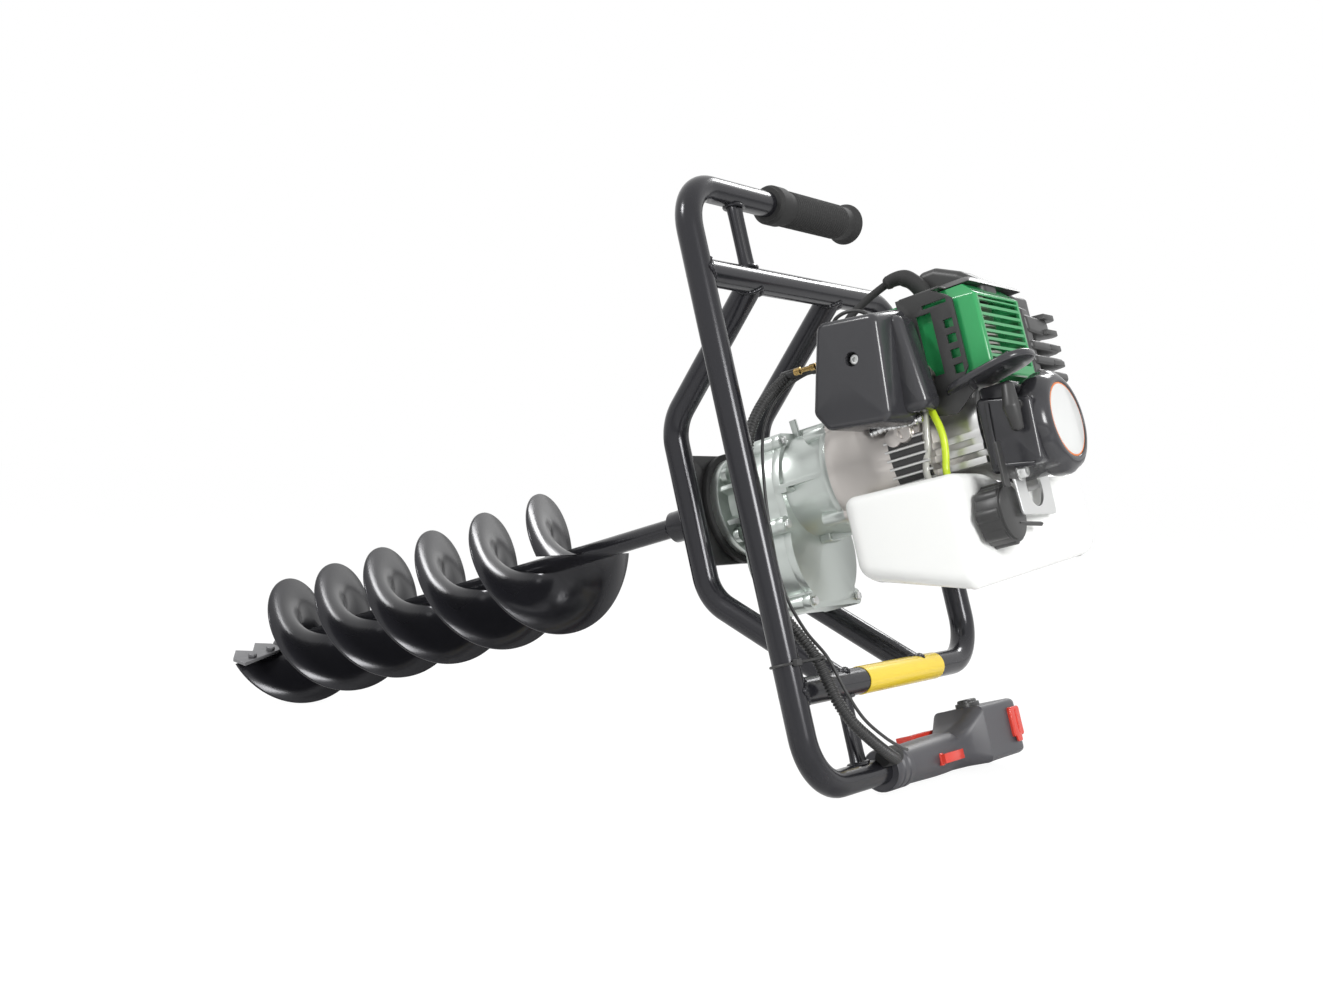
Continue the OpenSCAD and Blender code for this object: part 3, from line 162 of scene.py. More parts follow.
def swept(path, section, reference=TILTED):
    """Section carried along a path: its points (around, 2), or (levels, around, 2) where it
    changes, become distances along the two side vectors of each place."""
    path = np.asarray(path, float)
    side, up = side_vectors(path, reference)
    section = np.broadcast_to(section, (len(path),) + np.shape(section)[-2:])
    return path[:, None] + section[..., :1] * side[:, None] + section[..., 1:] * up[:, None]


def circle(radius, around=32):
    """Points of a circle: radius times cosine and sine of evenly spaced angles."""
    a = np.linspace(0, 2 * np.pi, around, endpoint=False)
    radius = np.asarray(radius, float)[..., None, None]
    return radius * np.stack([np.cos(a), np.sin(a)], -1)


def tube(path, radius, around=32, reference=TILTED):
    """Round tube along a path, its radius a number or one for each point."""
    return shell(swept(path, circle(radius, around), reference))


def turned(profile, start, direction, around=64):
    """Turned piece: each profile point (radius, distance) becomes a circle around the direction."""
    profile = np.asarray(profile, float)
    d = unit(direction)
    side = unit(np.cross(d, (0.31, 0.13, 0.94) if abs(d[2]) < 0.9 else EX))
    up = np.cross(d, side)
    ring = circle(profile[:, 0], around)
    centre = np.asarray(start, float) + profile[:, 1:] * d
    return shell(centre[:, None] + ring[..., :1] * side + ring[..., 1:] * up)


def smooth_path(points, steps=10):
    """Catmull-Rom curve: each span is a cubic whose ends slope along their neighbours' chord."""
    p = np.asarray(points, float)
    q = np.concatenate([p[:1], p, p[-1:]])
    t = np.linspace(0, 1, steps, endpoint=False)[None, :, None]
    a, b, c, d = (q[i:len(q) - 3 + i][:, None] for i in range(4))
    curve = 0.5 * (2 * b + (c - a) * t + (2 * a - 5 * b + 4 * c - d) * t ** 2
                   + (3 * b - a - 3 * c + d) * t ** 3)
    return np.concatenate([curve.reshape(-1, 3), p[-1:]])


def spaced(path, step):
    """The same path with points at even steps of length."""
    length = np.concatenate([[0], np.cumsum(np.linalg.norm(np.diff(path, axis=0), axis=1))])
    s = np.linspace(0, length[-1], max(2, int(round(length[-1] / step)) + 1))
    return np.stack([np.interp(s, length, path[:, k]) for k in range(3)], -1)


def bent_route(corners, radius, steps=14):
    """Route with round bends: at each inner corner an arc of that radius touching both runs."""
    p = np.asarray(corners, float)
    out = [p[:1]]
    for i in range(1, len(p) - 1):
        a, b = unit(p[i - 1] - p[i]), unit(p[i + 1] - p[i])
        half = math.acos(float(np.clip(a @ b, -1, 1))) / 2
        centre = p[i] + unit(a + b) * radius / math.sin(half)
        turn = np.linspace(-1, 1, steps + 1)[:, None] * (math.pi / 2 - half)
        out.append(centre + radius * (np.cos(turn) * unit(-a - b) + np.sin(turn) * unit(b - a)))
    out.append(p[-1:])
    return np.concatenate(out)


def loop_around(centres, steps=6):
    """Centres and outward directions of the arcs that round a convex outline's corners, in order
    around it: at each corner the direction turns from one side's normal to the next one's."""
    p = np.asarray(centres, float)
    edge = np.roll(p, -1, 0) - p
    normal = np.arctan2(-edge[:, 0], edge[:, 1])
    before = np.roll(normal, 1)
    sweep = (normal - before) % (2 * np.pi)
    angle = before[:, None] + sweep[:, None] * np.linspace(0, 1, steps + 1)
    direction = np.stack([np.cos(angle), np.sin(angle)], -1).reshape(-1, 2)
    return np.repeat(p, steps + 1, 0), direction


def quarter(fillet, steps=5):
    """Rounding of an edge: pairs of inset and depth along a quarter circle, from face to wall."""
    t = np.linspace(0, np.pi / 2, steps + 1)
    return np.stack([fillet * (1 - np.sin(t)), fillet * (1 - np.cos(t))], -1)


def placed(flat, height, origin, axes):
    """Flat outlines (levels, around, 2) at their heights, set on an origin: each coordinate goes
    along its own one of three directions."""
    ex, ey, ez = (unit(e) for e in axes)
    height = np.asarray(height, float)[:, None, None]
    return np.asarray(origin, float) + flat[..., :1] * ex + flat[..., 1:] * ey + height * ez


def rounded_block(centres, radius, h0, h1, fillet, origin, axes, top_centres=None):
    """Prism with round corners and rounded rims: circles of one radius around the centres, whose
    radius shrinks by the rim's inset near both ends, and centres that may shift towards the top."""
    rim = quarter(fillet)
    inset = np.concatenate([rim[:, 0], rim[::-1, 0]])
    height = np.concatenate([h0 + rim[:, 1], h1 - rim[::-1, 1]])
    at, direction = loop_around(centres)
    top = at if top_centres is None else loop_around(top_centres)[0]
    share = ((height - h0) / (h1 - h0))[:, None, None]
    flat = at * (1 - share) + top * share + (radius - inset)[:, None, None] * direction
    return shell(placed(flat, height, origin, axes))


def corner_centres(corners, radius):
    """Centres of the circles that round an outline's corners from inside, on their bisectors."""
    p = np.asarray(corners, float)
    a, b = unit(np.roll(p, 1, 0) - p), unit(np.roll(p, -1, 0) - p)
    half = np.arccos(np.clip((a * b).sum(1), -1, 1)) / 2
    return p + unit(a + b) * (radius / np.sin(half))[:, None]


def even_outline(centres, radius, count):
    """Evenly spaced points of an outline with round corners, and their outward directions."""
    at, direction = loop_around(centres, 12)
    loop = at + radius * direction
    loop = np.concatenate([loop, loop[:1]])
    normal = np.concatenate([direction, direction[:1]])
    length = np.concatenate([[0], np.cumsum(np.linalg.norm(np.diff(loop, axis=0), axis=1))])
    s = np.linspace(0, length[-1], count, endpoint=False)
    picked = [np.stack([np.interp(s, length, v[:, k]) for k in (0, 1)], -1)
              for v in (loop, normal)]
    return picked[0], unit(picked[1])


def oblong(half_wide, half_high):
    """Corners of a rectangle around the origin, in the order that rounded outlines need."""
    return [[-half_wide, -half_high], [half_wide, -half_high], [half_wide, half_high],
            [-half_wide, half_high]]


def bar(path, wide, high, reference=EZ, round_by=0.8):
    """Bar of rounded rectangular section along a path."""
    at, direction = loop_around(oblong(wide / 2 - round_by, high / 2 - round_by), 3)
    return shell(swept(path, at + round_by * direction, reference))


def plate(corners, radius, h0, h1, fillet, origin, axes):
    """Flat piece whose outline is a polygon with rounded corners."""
    return rounded_block(corner_centres(corners, radius), radius, h0, h1, fillet, origin, axes)


def skin_mesh(name, skin):
    """Mesh of a skin in machine millimetres, with doubles merged and its faces outwards."""
    mesh = bpy.data.meshes.new(name)
    mesh.from_pydata(row(skin[0]).tolist(), [], skin[1])
    work = bmesh.new()
    work.from_mesh(mesh)
    bmesh.ops.remove_doubles(work, verts=work.verts, dist=1e-6)
    bmesh.ops.recalc_face_normals(work, faces=work.faces)
    work.to_mesh(mesh)
    work.free()
    return mesh


def shade(mesh, angle):
    """Smooth shading, with edges of more than the angle in degrees left sharp."""
    mesh.shade_smooth()
    mesh.set_sharp_from_angle(angle=math.radians(angle))


def drill(piece, radius, low, high, place, direction, around):
    """Takes a round hole out of a piece, between two distances along a direction."""
    skin = turned([[0.01, low], [radius, low], [radius, high], [0.01, high]], place, direction,
                  around)
    tool = bpy.data.objects.new("tool", skin_mesh("tool", skin))
    bpy.context.scene.collection.objects.link(tool)
    cut = piece.modifiers.new("cut", "BOOLEAN")
    cut.operation = "DIFFERENCE"
    cut.solver = "EXACT"
    cut.object = tool
    bpy.context.view_layer.update()
    view = bpy.context.evaluated_depsgraph_get()
    made = bpy.data.meshes.new_from_object(piece.evaluated_get(view))
    piece.modifiers.clear()
    piece.data = made
    shade(made, SMOOTH_ANGLE)
    bpy.data.objects.remove(tool)


def add_piece(name, skin, material, body="machine", replaces=(), angle=SMOOTH_ANGLE):
    """A piece from a skin in machine millimetres, smooth below the angle, on its body and in
    place of the CAD nodes that it stands for."""
    return finish_piece(name, skin_mesh(name, skin), material, body, replaces, angle)


def paint(mesh, material):
    """Gives a mesh one material in place of what it has."""
    mesh.materials.clear()
    mesh.materials.append(bpy.data.materials[material])


def finish_piece(name, mesh, material, body, replaces, angle):
    """Makes the piece of a mesh: its shading, material, body, replaced nodes and material slot."""
    shade(mesh, angle)
    paint(mesh, material)
    piece = bpy.data.objects.new(name, mesh)
    bpy.context.scene.collection.objects.link(piece)
    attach(piece, body)
    if replaces:
        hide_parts(*replaces)
    return piece


def body_with(node):
    """Name of the body that holds a CAD node."""
    bodies = RECORD["behaviour"]["bodies"]
    return next(b for b, members in bodies.items() if node in members)


# Where the covers are reshaped: the place along x past which they are pressed together, the share
# kept there, and how far they spread over a run before it
COVER_END_X = -110.0
COVER_KEPT = 0.62
COVER_RUN = 58.0
COVER_SPREAD = 9.0
GRIP_KEPT = 0.7
MUFFLER_END_Z = 235.0
MUFFLER_KEPT = 0.45


def lowered(points):
    """Cylinder cover and shroud set as in the photograph: past their end along x each place keeps
    a share of its further distance, and before it the places spread over a run."""
    points = points.copy()
    x = points[:, 0]
    past = x - COVER_END_X
    points[:, 0] = np.where(past < 0, COVER_END_X + past * COVER_KEPT,
                            x + np.clip(past / COVER_RUN, 0, 1) * COVER_SPREAD)
    return points


def shortened(points):
    """Pull grip at a share of its length, from its upper end."""
    points = points.copy()
    start = points[:, 0].min()
    points[:, 0] = start + (points[:, 0] - start) * GRIP_KEPT
    return points


def drawn_in(points):
    """Muffler kept within its cover: past a place along z each place keeps a share of its further
    distance."""
    points = points.copy()
    past = points[:, 2] - MUFFLER_END_Z
    points[:, 2] = np.where(past > 0, MUFFLER_END_Z + past * MUFFLER_KEPT, points[:, 2])
    return points


def dress(node, width, reshape=None):
    """A copy of a CAD node with its corners merged, its sharp edges rounded by the width in
    millimetres and its curved faces shaded smooth. It stands for the node."""
    work = bmesh.new()
    work.from_mesh(frame["nodes"][node].data)
    bmesh.ops.remove_doubles(work, verts=work.verts, dist=2e-6)
    bmesh.ops.dissolve_limit(work, angle_limit=math.radians(0.5), verts=work.verts,
                             edges=work.edges)
    limit = math.radians(SHARP_ANGLE)
    sharp = [e for e in work.edges if len(e.link_faces) == 2 and e.calc_face_angle(0) > limit]
    if width:
        bmesh.ops.bevel(work, geom=sharp, offset=width * MM, offset_type="OFFSET", segments=2,
                        profile=0.5, affect="EDGES", clamp_overlap=True)
    bmesh.ops.triangulate(work, faces=[f for f in work.faces if len(f.verts) > 4])
    mesh = bpy.data.meshes.new(node + "_dressed")
    work.to_mesh(mesh)
    work.free()
    if reshape:
        co = np.empty(len(mesh.vertices) * 3, np.float32)
        mesh.vertices.foreach_get("co", co)
        mesh.vertices.foreach_set("co", row(reshape(machine(co.reshape(-1, 3)))).ravel())
    slot = slot_of(node)
    finish_piece(node + "_dressed", mesh, slot, body_with(node), (node,), SMOOTH_ANGLE)


def slot_of(node):
    """The record's material slot of a CAD node."""
    return next(s["material_slot"] for s in RECORD["subparts"] if s["node"] == node)


# Sizes and colours that a user may change
class AugerSizes(bpy.types.PropertyGroup):
    """Sizes of what the scene adds to the machine."""
    weld_bead: bpy.props.FloatProperty(
        name="Weld bead", description="Radius of the weld beads on the frame", default=0.0022,
        unit="LENGTH")
    rib_pitch: bpy.props.FloatProperty(
        name="Conduit rib pitch", description="Distance between the ribs of the throttle conduit",
        default=0.0032, unit="LENGTH")
    edge_round: bpy.props.FloatProperty(
        name="Edge rounding", description="Rounding of the castings' edges", default=0.0008,
        unit="LENGTH")


def colour(name, description, value):
    """A colour property with its default."""
    return bpy.props.FloatVectorProperty(name=name, description=description, subtype="COLOR",
                                         size=3, min=0, max=1, default=value)


class AugerColours(bpy.types.PropertyGroup):
    """Colours of the machine's finishes, as linear values."""
    gloss_black: colour("Gloss black", "Powder coat of the frame and the auger",
                        (0.003, 0.003, 0.0035))
    plastic_black: colour("Plastic black", "Moulded covers", (0.006, 0.006, 0.0065))
    cover_black: colour("Cover black", "Muffler cover and starter", (0.013, 0.013, 0.0135))
    rubber_black: colour("Rubber black", "Grips, rings and boots", (0.007, 0.007, 0.007))
    handle_grey: colour("Handle grey", "Throttle handle", (0.013, 0.0135, 0.014))
    case_grey: colour("Case grey", "Painted gearbox castings", (0.33, 0.35, 0.34))
    warm_aluminium: colour("Warm aluminium", "Raw casting of the fan case", (0.37, 0.345, 0.32))
    bright_aluminium: colour("Bright aluminium", "Blasted crankcase", (0.50, 0.50, 0.48))
    cover_green: colour("Cover green", "Cylinder cover", (0.030, 0.30, 0.085))
    tank_white: colour("Tank white", "Translucent fuel tank", (0.88, 0.90, 0.88))
    switch_red: colour("Switch red", "Trigger, lever and switch", (0.62, 0.022, 0.016))
    sleeve_yellow: colour("Sleeve yellow", "Sleeve on the guard leg", (0.80, 0.50, 0.02))
    line_green: colour("Fuel line green", "Fuel line", (0.50, 0.68, 0.02))
    zinc: colour("Zinc", "Bolts, pins and brackets", (0.62, 0.64, 0.65))
    steel: colour("Steel", "Ground steel parts", (0.45, 0.45, 0.46))
    orange: colour("Orange", "Rim of the starter's disc", (0.80, 0.20, 0.03))


def set_sockets(node, values):
    """Sets the values of a node's input sockets, each given by name or number."""
    for socket, value in values:
        node.inputs[socket].default_value = value


def new_node(nodes, kind, values=(), **settings):
    """A shader node with its settings and its sockets' values."""
    node = nodes.new("ShaderNode" + kind)
    for name, value in settings.items():
        setattr(node, name, value)
    set_sockets(node, values)
    return node


def link_up(links, pairs):
    """Links each output to its input."""
    for source, target in pairs:
        links.new(source, target)


# Places of the sockets of the Mix node's colour mode, whose names repeat
MIX_A, MIX_B, MIX_RESULT = 6, 7, 2
BROAD_SCALE = 25.0
COAT_ROUGHNESS = 0.06


def surface_group():
    """Node group of every finish: broad noise shifts the colour between two tints, and fine noise
    sets the roughness between two values and gives the height of the grain."""
    group = bpy.data.node_groups.new("surface_finish", "ShaderNodeTree")
    for way, kind, names in (("INPUT", "Color", ("Tint A", "Tint B")),
                             ("INPUT", "Float", ("Grain Scale", "Rough Low", "Rough High")),
                             ("OUTPUT", "Color", ("Color",)),
                             ("OUTPUT", "Float", ("Roughness", "Height"))):
        for name in names:
            group.interface.new_socket(name=name, in_out=way, socket_type="NodeSocket" + kind)
    nodes = group.nodes
    enter, leave = nodes.new("NodeGroupInput"), nodes.new("NodeGroupOutput")
    place = new_node(nodes, "TexCoord")
    broad = new_node(nodes, "TexNoise", (("Detail", 5.0), ("Scale", BROAD_SCALE)))
    grain = new_node(nodes, "TexNoise", (("Detail", 3.0),))
    spread = new_node(nodes, "MapRange", (("From Min", 0.35), ("From Max", 0.65)))
    tint = new_node(nodes, "Mix", data_type="RGBA")
    rough = new_node(nodes, "MapRange", (("From Min", 0.3), ("From Max", 0.7)))
    link_up(group.links, (
        (place.outputs["Object"], broad.inputs["Vector"]),
        (place.outputs["Object"], grain.inputs["Vector"]),
        (enter.outputs["Grain Scale"], grain.inputs["Scale"]),
        (broad.outputs["Fac"], spread.inputs["Value"]),
        (spread.outputs["Result"], tint.inputs["Factor"]),
        (enter.outputs["Tint A"], tint.inputs[MIX_A]),
        (enter.outputs["Tint B"], tint.inputs[MIX_B]),
        (grain.outputs["Fac"], rough.inputs["Value"]),
        (enter.outputs["Rough Low"], rough.inputs["To Min"]),
        (enter.outputs["Rough High"], rough.inputs["To Max"]),
        (tint.outputs[MIX_RESULT], leave.inputs["Color"]),
        (rough.outputs["Result"], leave.inputs["Roughness"]),
        (grain.outputs["Fac"], leave.inputs["Height"])))


def finish(name, tint, rough, grain, bump, metallic=0.0, shift=0.85, coat=0.0, more=()):
    """A material from the surface group: tint and a shifted tint, a roughness pair, the grain's
    scale and bump height in millimetres, and constants set on the shader's own sockets."""
    mat = bpy.data.materials.new(name)
    mat.use_nodes = True
    nodes = mat.node_tree.nodes
    shader = nodes["Principled BSDF"]
    base = tuple(tint)
    shifted = tuple(min(1.0, c * shift) for c in base)
    look = new_node(nodes, "Group", node_tree=bpy.data.node_groups["surface_finish"])
    set_sockets(look, (("Tint A", base + (1.0,)), ("Tint B", shifted + (1.0,)),
                       ("Grain Scale", grain), ("Rough Low", rough[0]), ("Rough High", rough[1])))
    relief = new_node(nodes, "Bump", (("Strength", 1.0), ("Distance", bump * MM)))
    link_up(mat.node_tree.links, (
        (look.outputs["Color"], shader.inputs["Base Color"]),
        (look.outputs["Roughness"], shader.inputs["Roughness"]),
        (look.outputs["Height"], relief.inputs["Height"]),
        (relief.outputs["Normal"], shader.inputs["Normal"])))
    set_sockets(shader, (("Metallic", metallic), ("Coat Weight", coat),
                         ("Coat Roughness", COAT_ROUGHNESS)) + more)


def make_finishes(tints):
    """All of the machine's finishes, one material for each slot of the record and a few more."""
    surface_group()
    black = tints.gloss_black
    faint = (("Specular IOR Level", 0.1),)
    finish("gloss_black", black, (0.1, 0.15), 420, 0.007, more=(("Specular IOR Level", 0.05),))
    finish("black_steel", black, (0.2, 0.3), 700, 0.03, more=faint)
    finish("rubber", tints.rubber_black, (0.48, 0.62), 1300, 0.05, more=faint)
    finish("black_plastic", tints.plastic_black, (0.28, 0.38), 1600, 0.03, more=faint)
    finish("cover_black", tints.cover_black, (0.16, 0.24), 1400, 0.01, coat=0.08, more=faint)
    finish("yellow_film", tints.sleeve_yellow, (0.2, 0.3), 500, 0.01, shift=0.94, coat=0.5)
    finish("case_aluminium", tints.case_grey, (0.5, 0.66), 1500, 0.05, metallic=0.1, shift=0.88,
           more=(("Specular IOR Level", 0.3),))
    finish("raw_aluminium", tints.warm_aluminium, (0.42, 0.58), 1300, 0.08, metallic=0.5)
    finish("silver_aluminium", tints.bright_aluminium, (0.4, 0.56), 1500, 0.08, metallic=0.5)
    finish("steel", tints.steel, (0.2, 0.34), 1500, 0.015, metallic=1.0)
    finish("zinc", tints.zinc, (0.2, 0.34), 1500, 0.012, metallic=1.0, shift=0.9)
    finish("dark_steel", (0.03, 0.031, 0.033), (0.3, 0.5), 900, 0.06, metallic=0.6, shift=1.5)
    finish("muffler_steel", (0.20, 0.19, 0.18), (0.4, 0.6), 800, 0.05, metallic=0.9)
    finish("green_plastic", tints.cover_green, (0.22, 0.32), 1200, 0.02, shift=0.93, coat=0.25)
    finish("tank_white", tints.tank_white, (0.24, 0.34), 500, 0.02, shift=0.985,
           more=(("Subsurface Weight", 0.25), ("Subsurface Scale", 0.01)))
    finish("fuel_line_yellow", tints.line_green, (0.12, 0.2), 400, 0.01, shift=0.9, coat=0.6)
    finish("clear_hose", (0.50, 0.50, 0.46), (0.12, 0.2), 400, 0.01, shift=0.9, coat=0.5)
    finish("red_plastic", tints.switch_red, (0.22, 0.32), 900, 0.015, shift=0.93, coat=0.2)
    finish("grey_plastic", tints.handle_grey, (0.34, 0.46), 1700, 0.045, more=faint)
    finish("bulb", (0.55, 0.52, 0.42), (0.3, 0.4), 700, 0.02, shift=0.95)
    finish("white_plastic", (0.7, 0.7, 0.68), (0.35, 0.45), 900, 0.02, shift=0.97)
    finish("disc_face", (0.72, 0.73, 0.72), (0.3, 0.4), 700, 0.01, shift=0.97, coat=0.3)
    finish("orange_paint", tints.orange, (0.3, 0.4), 700, 0.01, shift=0.95)
    finish("brass", (0.62, 0.42, 0.16), (0.2, 0.3), 900, 0.01, metallic=1.0)
    finish("foil", (0.72, 0.72, 0.72), (0.12, 0.3), 260, 0.7, metallic=1.0)


# Frame
def frame_tubes():
    """The main bar, the guard and the two carriers as round tubes along their bent routes."""
    for name, node, x, end, back in (
            ("main_bar_tube", "main_bar", HANDLE_X, HANDLE_END, BAR_Y),
            ("guard_tube", "guard_bar", GUARD_X, BAR_Y, GUARD_Y)):
        route = bent_route([[-x, end, FRAME_Z], [-x, back, FRAME_Z], [x, back, FRAME_Z],
                            [x, end, FRAME_Z]], BEND_R)
        add_piece(name, tube(route, TUBE_R, 48, EZ), "gloss_black", replaces=(node,))
    parts = []
    for y in (-CARRIER_Y, CARRIER_Y):
        route = bent_route([[-GUARD_X, y, FRAME_Z], [-CARRIER_RUN, y, 0], [CARRIER_RUN, y, 0],
                            [GUARD_X, y, FRAME_Z]], BEND_R)
        parts.append(tube(route, TUBE_R, 48, EY))
    add_piece("carrier_tubes", joined(parts), "gloss_black", replaces=("carriers",))


def weld_bead(centre, along, across, radius, bead):
    """Bead where one tube meets the side of another of the same radius: around the joining tube
    the bead's distance along it is the radius times the cosine seen across the other tube, and
    its thickness ripples."""
    a = np.linspace(0, 2 * np.pi, 97)
    d, w = unit(along), unit(across)
    u = np.cross(d, w)
    reach = radius * np.abs(np.cos(a))[:, None]
    path = (np.asarray(centre, float) + reach * d
            + (radius + 0.2) * (np.cos(a)[:, None] * w + np.sin(a)[:, None] * u))
    ripple = bead * (1 + 0.14 * np.sin(30 * a) + 0.08 * np.sin(7 * a))
    return tube(path, ripple, 10)


def frame_welds(bead):
    """Beads where the guard meets the main bar and where the carriers meet the guard."""
    parts = []
    for s in (-1, 1):
        parts.append(weld_bead([s * GUARD_X, BAR_Y, FRAME_Z], EY, EX, TUBE_R, bead))
        run = np.array([CARRIER_RUN - GUARD_X, 0, -FRAME_Z], float) * (s, 1, 1)
        for y in (-CARRIER_Y, CARRIER_Y):
            parts.append(weld_bead([s * GUARD_X, y, FRAME_Z], run, EY, TUBE_R, bead))
    add_piece("frame_weld_beads", joined(parts), "gloss_black")


# The struts: place, clearance from the tubes' axes, half width and half thickness with what both
# gain where they are welded on, the pressed groove, and the oval bead
GUSSET_Y = -78.0
STRUT_END = 6.0
STRUT_WIDE, STRUT_WIDER = 10.5, 1.5
STRUT_THICK, STRUT_THICKER = 5.6, 2.0
GROOVE_DEPTH, GROOVE_WIDE = 2.6, 3.6
BEAD_WIDE, BEAD_HIGH, BEAD_R = 12.4, 7.6, 1.8


def frame_struts():
    """Flattened tube struts: an oval section whose middle is pressed in along the strut's length
    and which swells to a rounder section where it is welded on, with an oval bead at each end."""
    parts = []
    a = np.linspace(0, 2 * np.pi, 40, endpoint=False)
    turn = np.linspace(0, 2 * np.pi, 49)
    for s in (-1, 1):
        x = np.linspace(GUARD_X + STRUT_END, HANDLE_X - STRUT_END, 26)
        path = np.stack([s * x, np.full_like(x, GUSSET_Y), np.full_like(x, FRAME_Z)], -1)
        swell = np.abs(np.linspace(-1, 1, len(x)))[:, None] ** 6
        wide = STRUT_WIDE + STRUT_WIDER * swell
        groove = GROOVE_DEPTH * (1 - swell) * np.exp(-((np.cos(a) * 10) / GROOVE_WIDE) ** 2)
        thick = STRUT_THICK + STRUT_THICKER * swell
        section = np.stack([wide * np.cos(a), (thick - groove) * np.sin(a)], -1)
        parts.append(shell(swept(path, section, EZ)))
        for x_end in (GUARD_X + TUBE_R - 0.5, HANDLE_X - TUBE_R + 0.5):
            ring = np.stack([np.full_like(turn, s * x_end), GUSSET_Y + BEAD_WIDE * np.cos(turn),
                             FRAME_Z + BEAD_HIGH * np.sin(turn)], -1)
            parts.append(tube(ring, BEAD_R, 8, (1, 0, 0.01)))
    add_piece("frame_struts", joined(parts), "gloss_black", replaces=("frame_gussets",))


# The grip: its radius, the rise and end of its collar, the pitch of its ribs, and the rise and
# length of its flange
GRIP_R = 17.0
COLLAR_RISE, COLLAR_END = 2.4, 22.0
GRIP_RIB = 4.2
FLANGE_RISE, FLANGE_RUN = 4.2, 12.0


def hand_grip():
    """Rubber grip: a turned profile of an end collar, a ribbed middle and a rounded outer flange,
    where the ribs are a raised cosine along the length and the flange rises as a smooth step."""
    low, high = node_box("hand_grip")
    length = high[1] - low[1]
    y = np.linspace(0, 1, 240) * length
    collar = np.clip((y - 2) / 3, 0, 1) * np.clip((COLLAR_END - y) / 2, 0, 1)
    ribbed = np.clip((y - 30) / 4, 0, 1) * np.clip((length - 22 - y) / 4, 0, 1)
    flare = np.clip((y - (length - FLANGE_RUN)) / 9, 0, 1)
    r = (GRIP_R + COLLAR_RISE * collar + FLANGE_RISE * (3 * flare ** 2 - 2 * flare ** 3)
         + ribbed * (0.5 + 0.5 * np.cos(y * 2 * np.pi / GRIP_RIB)))
    edge = np.clip((length - y) / 3, 0, 1)
    r = r * np.sqrt(1 - (1 - edge) ** 2 * 0.35)
    profile = np.concatenate([[[13.2, -0.2]], np.stack([r, y], -1), [[6, length + 0.05]]])
    add_piece("rubber_grip", turned(profile, (-HANDLE_X, low[1], FRAME_Z), EY, 72), "rubber",
              replaces=("hand_grip",))


# Auger
def flight_skin(turn):
    """Helicoid plate with thickness: the section in radius and height, widened at the shaft by a
    weld fillet and rounded at the rim, turned by the height over the lead."""
    z = np.linspace(FLIGHT_TIP, FLIGHT_TOP, 420)[:, None]
    a = math.radians(turn) + (z - FLIGHT_TOP) / FLIGHT_LEAD * 2 * np.pi
    h = FLIGHT_T / 2
    under = np.array([[SHAFT_R - 1, -h - 3], [SHAFT_R + 1, -h - 1.6], [SHAFT_R + 3, -h], [30, -h],
                      [54, -h], [FLIGHT_R - 1, -h], [FLIGHT_R - 0.2, -h / 2]])
    r, height = np.concatenate([under, under[::-1] * (1, -1)]).T
    return shell(np.stack([r * np.cos(a), r * np.sin(a), z + height], -1))


def auger_flights():
    """The two flights, half a turn apart."""
    skins = joined([flight_skin(FLIGHT_TURN), flight_skin(FLIGHT_TURN + 180)])
    add_piece("auger_flight_pair", skins, "gloss_black", "auger", ("auger_flights",), angle=50)


# Controls
CONDUIT = [[268, -45, 143], [266, -58, 148], [258, -78, 152], [245, -98, 152],
           [228, -116, 149], [208, -128, 146], [186, -135, 144], [166, -138, 140],
           [146, -139, 130], [126, -139, 118], [104, -139, 110], [70, -139, 107],
           [36, -138, 107], [0, -134, 108], [-40, -124, 112], [-66, -108, 120],
           [-82, -90, 128], [-94, -74, 137]]
CONDUIT_R = 5.5
RIB_DEPTH = 0.55
RIB_STEPS = 8
SWITCH_WIRE_R = 1.5
TIE_X = 167.0
TIE_R = 1.3
# How far the middle of the tie stands off the tubes that it holds
TIE_LIFT = 1.1


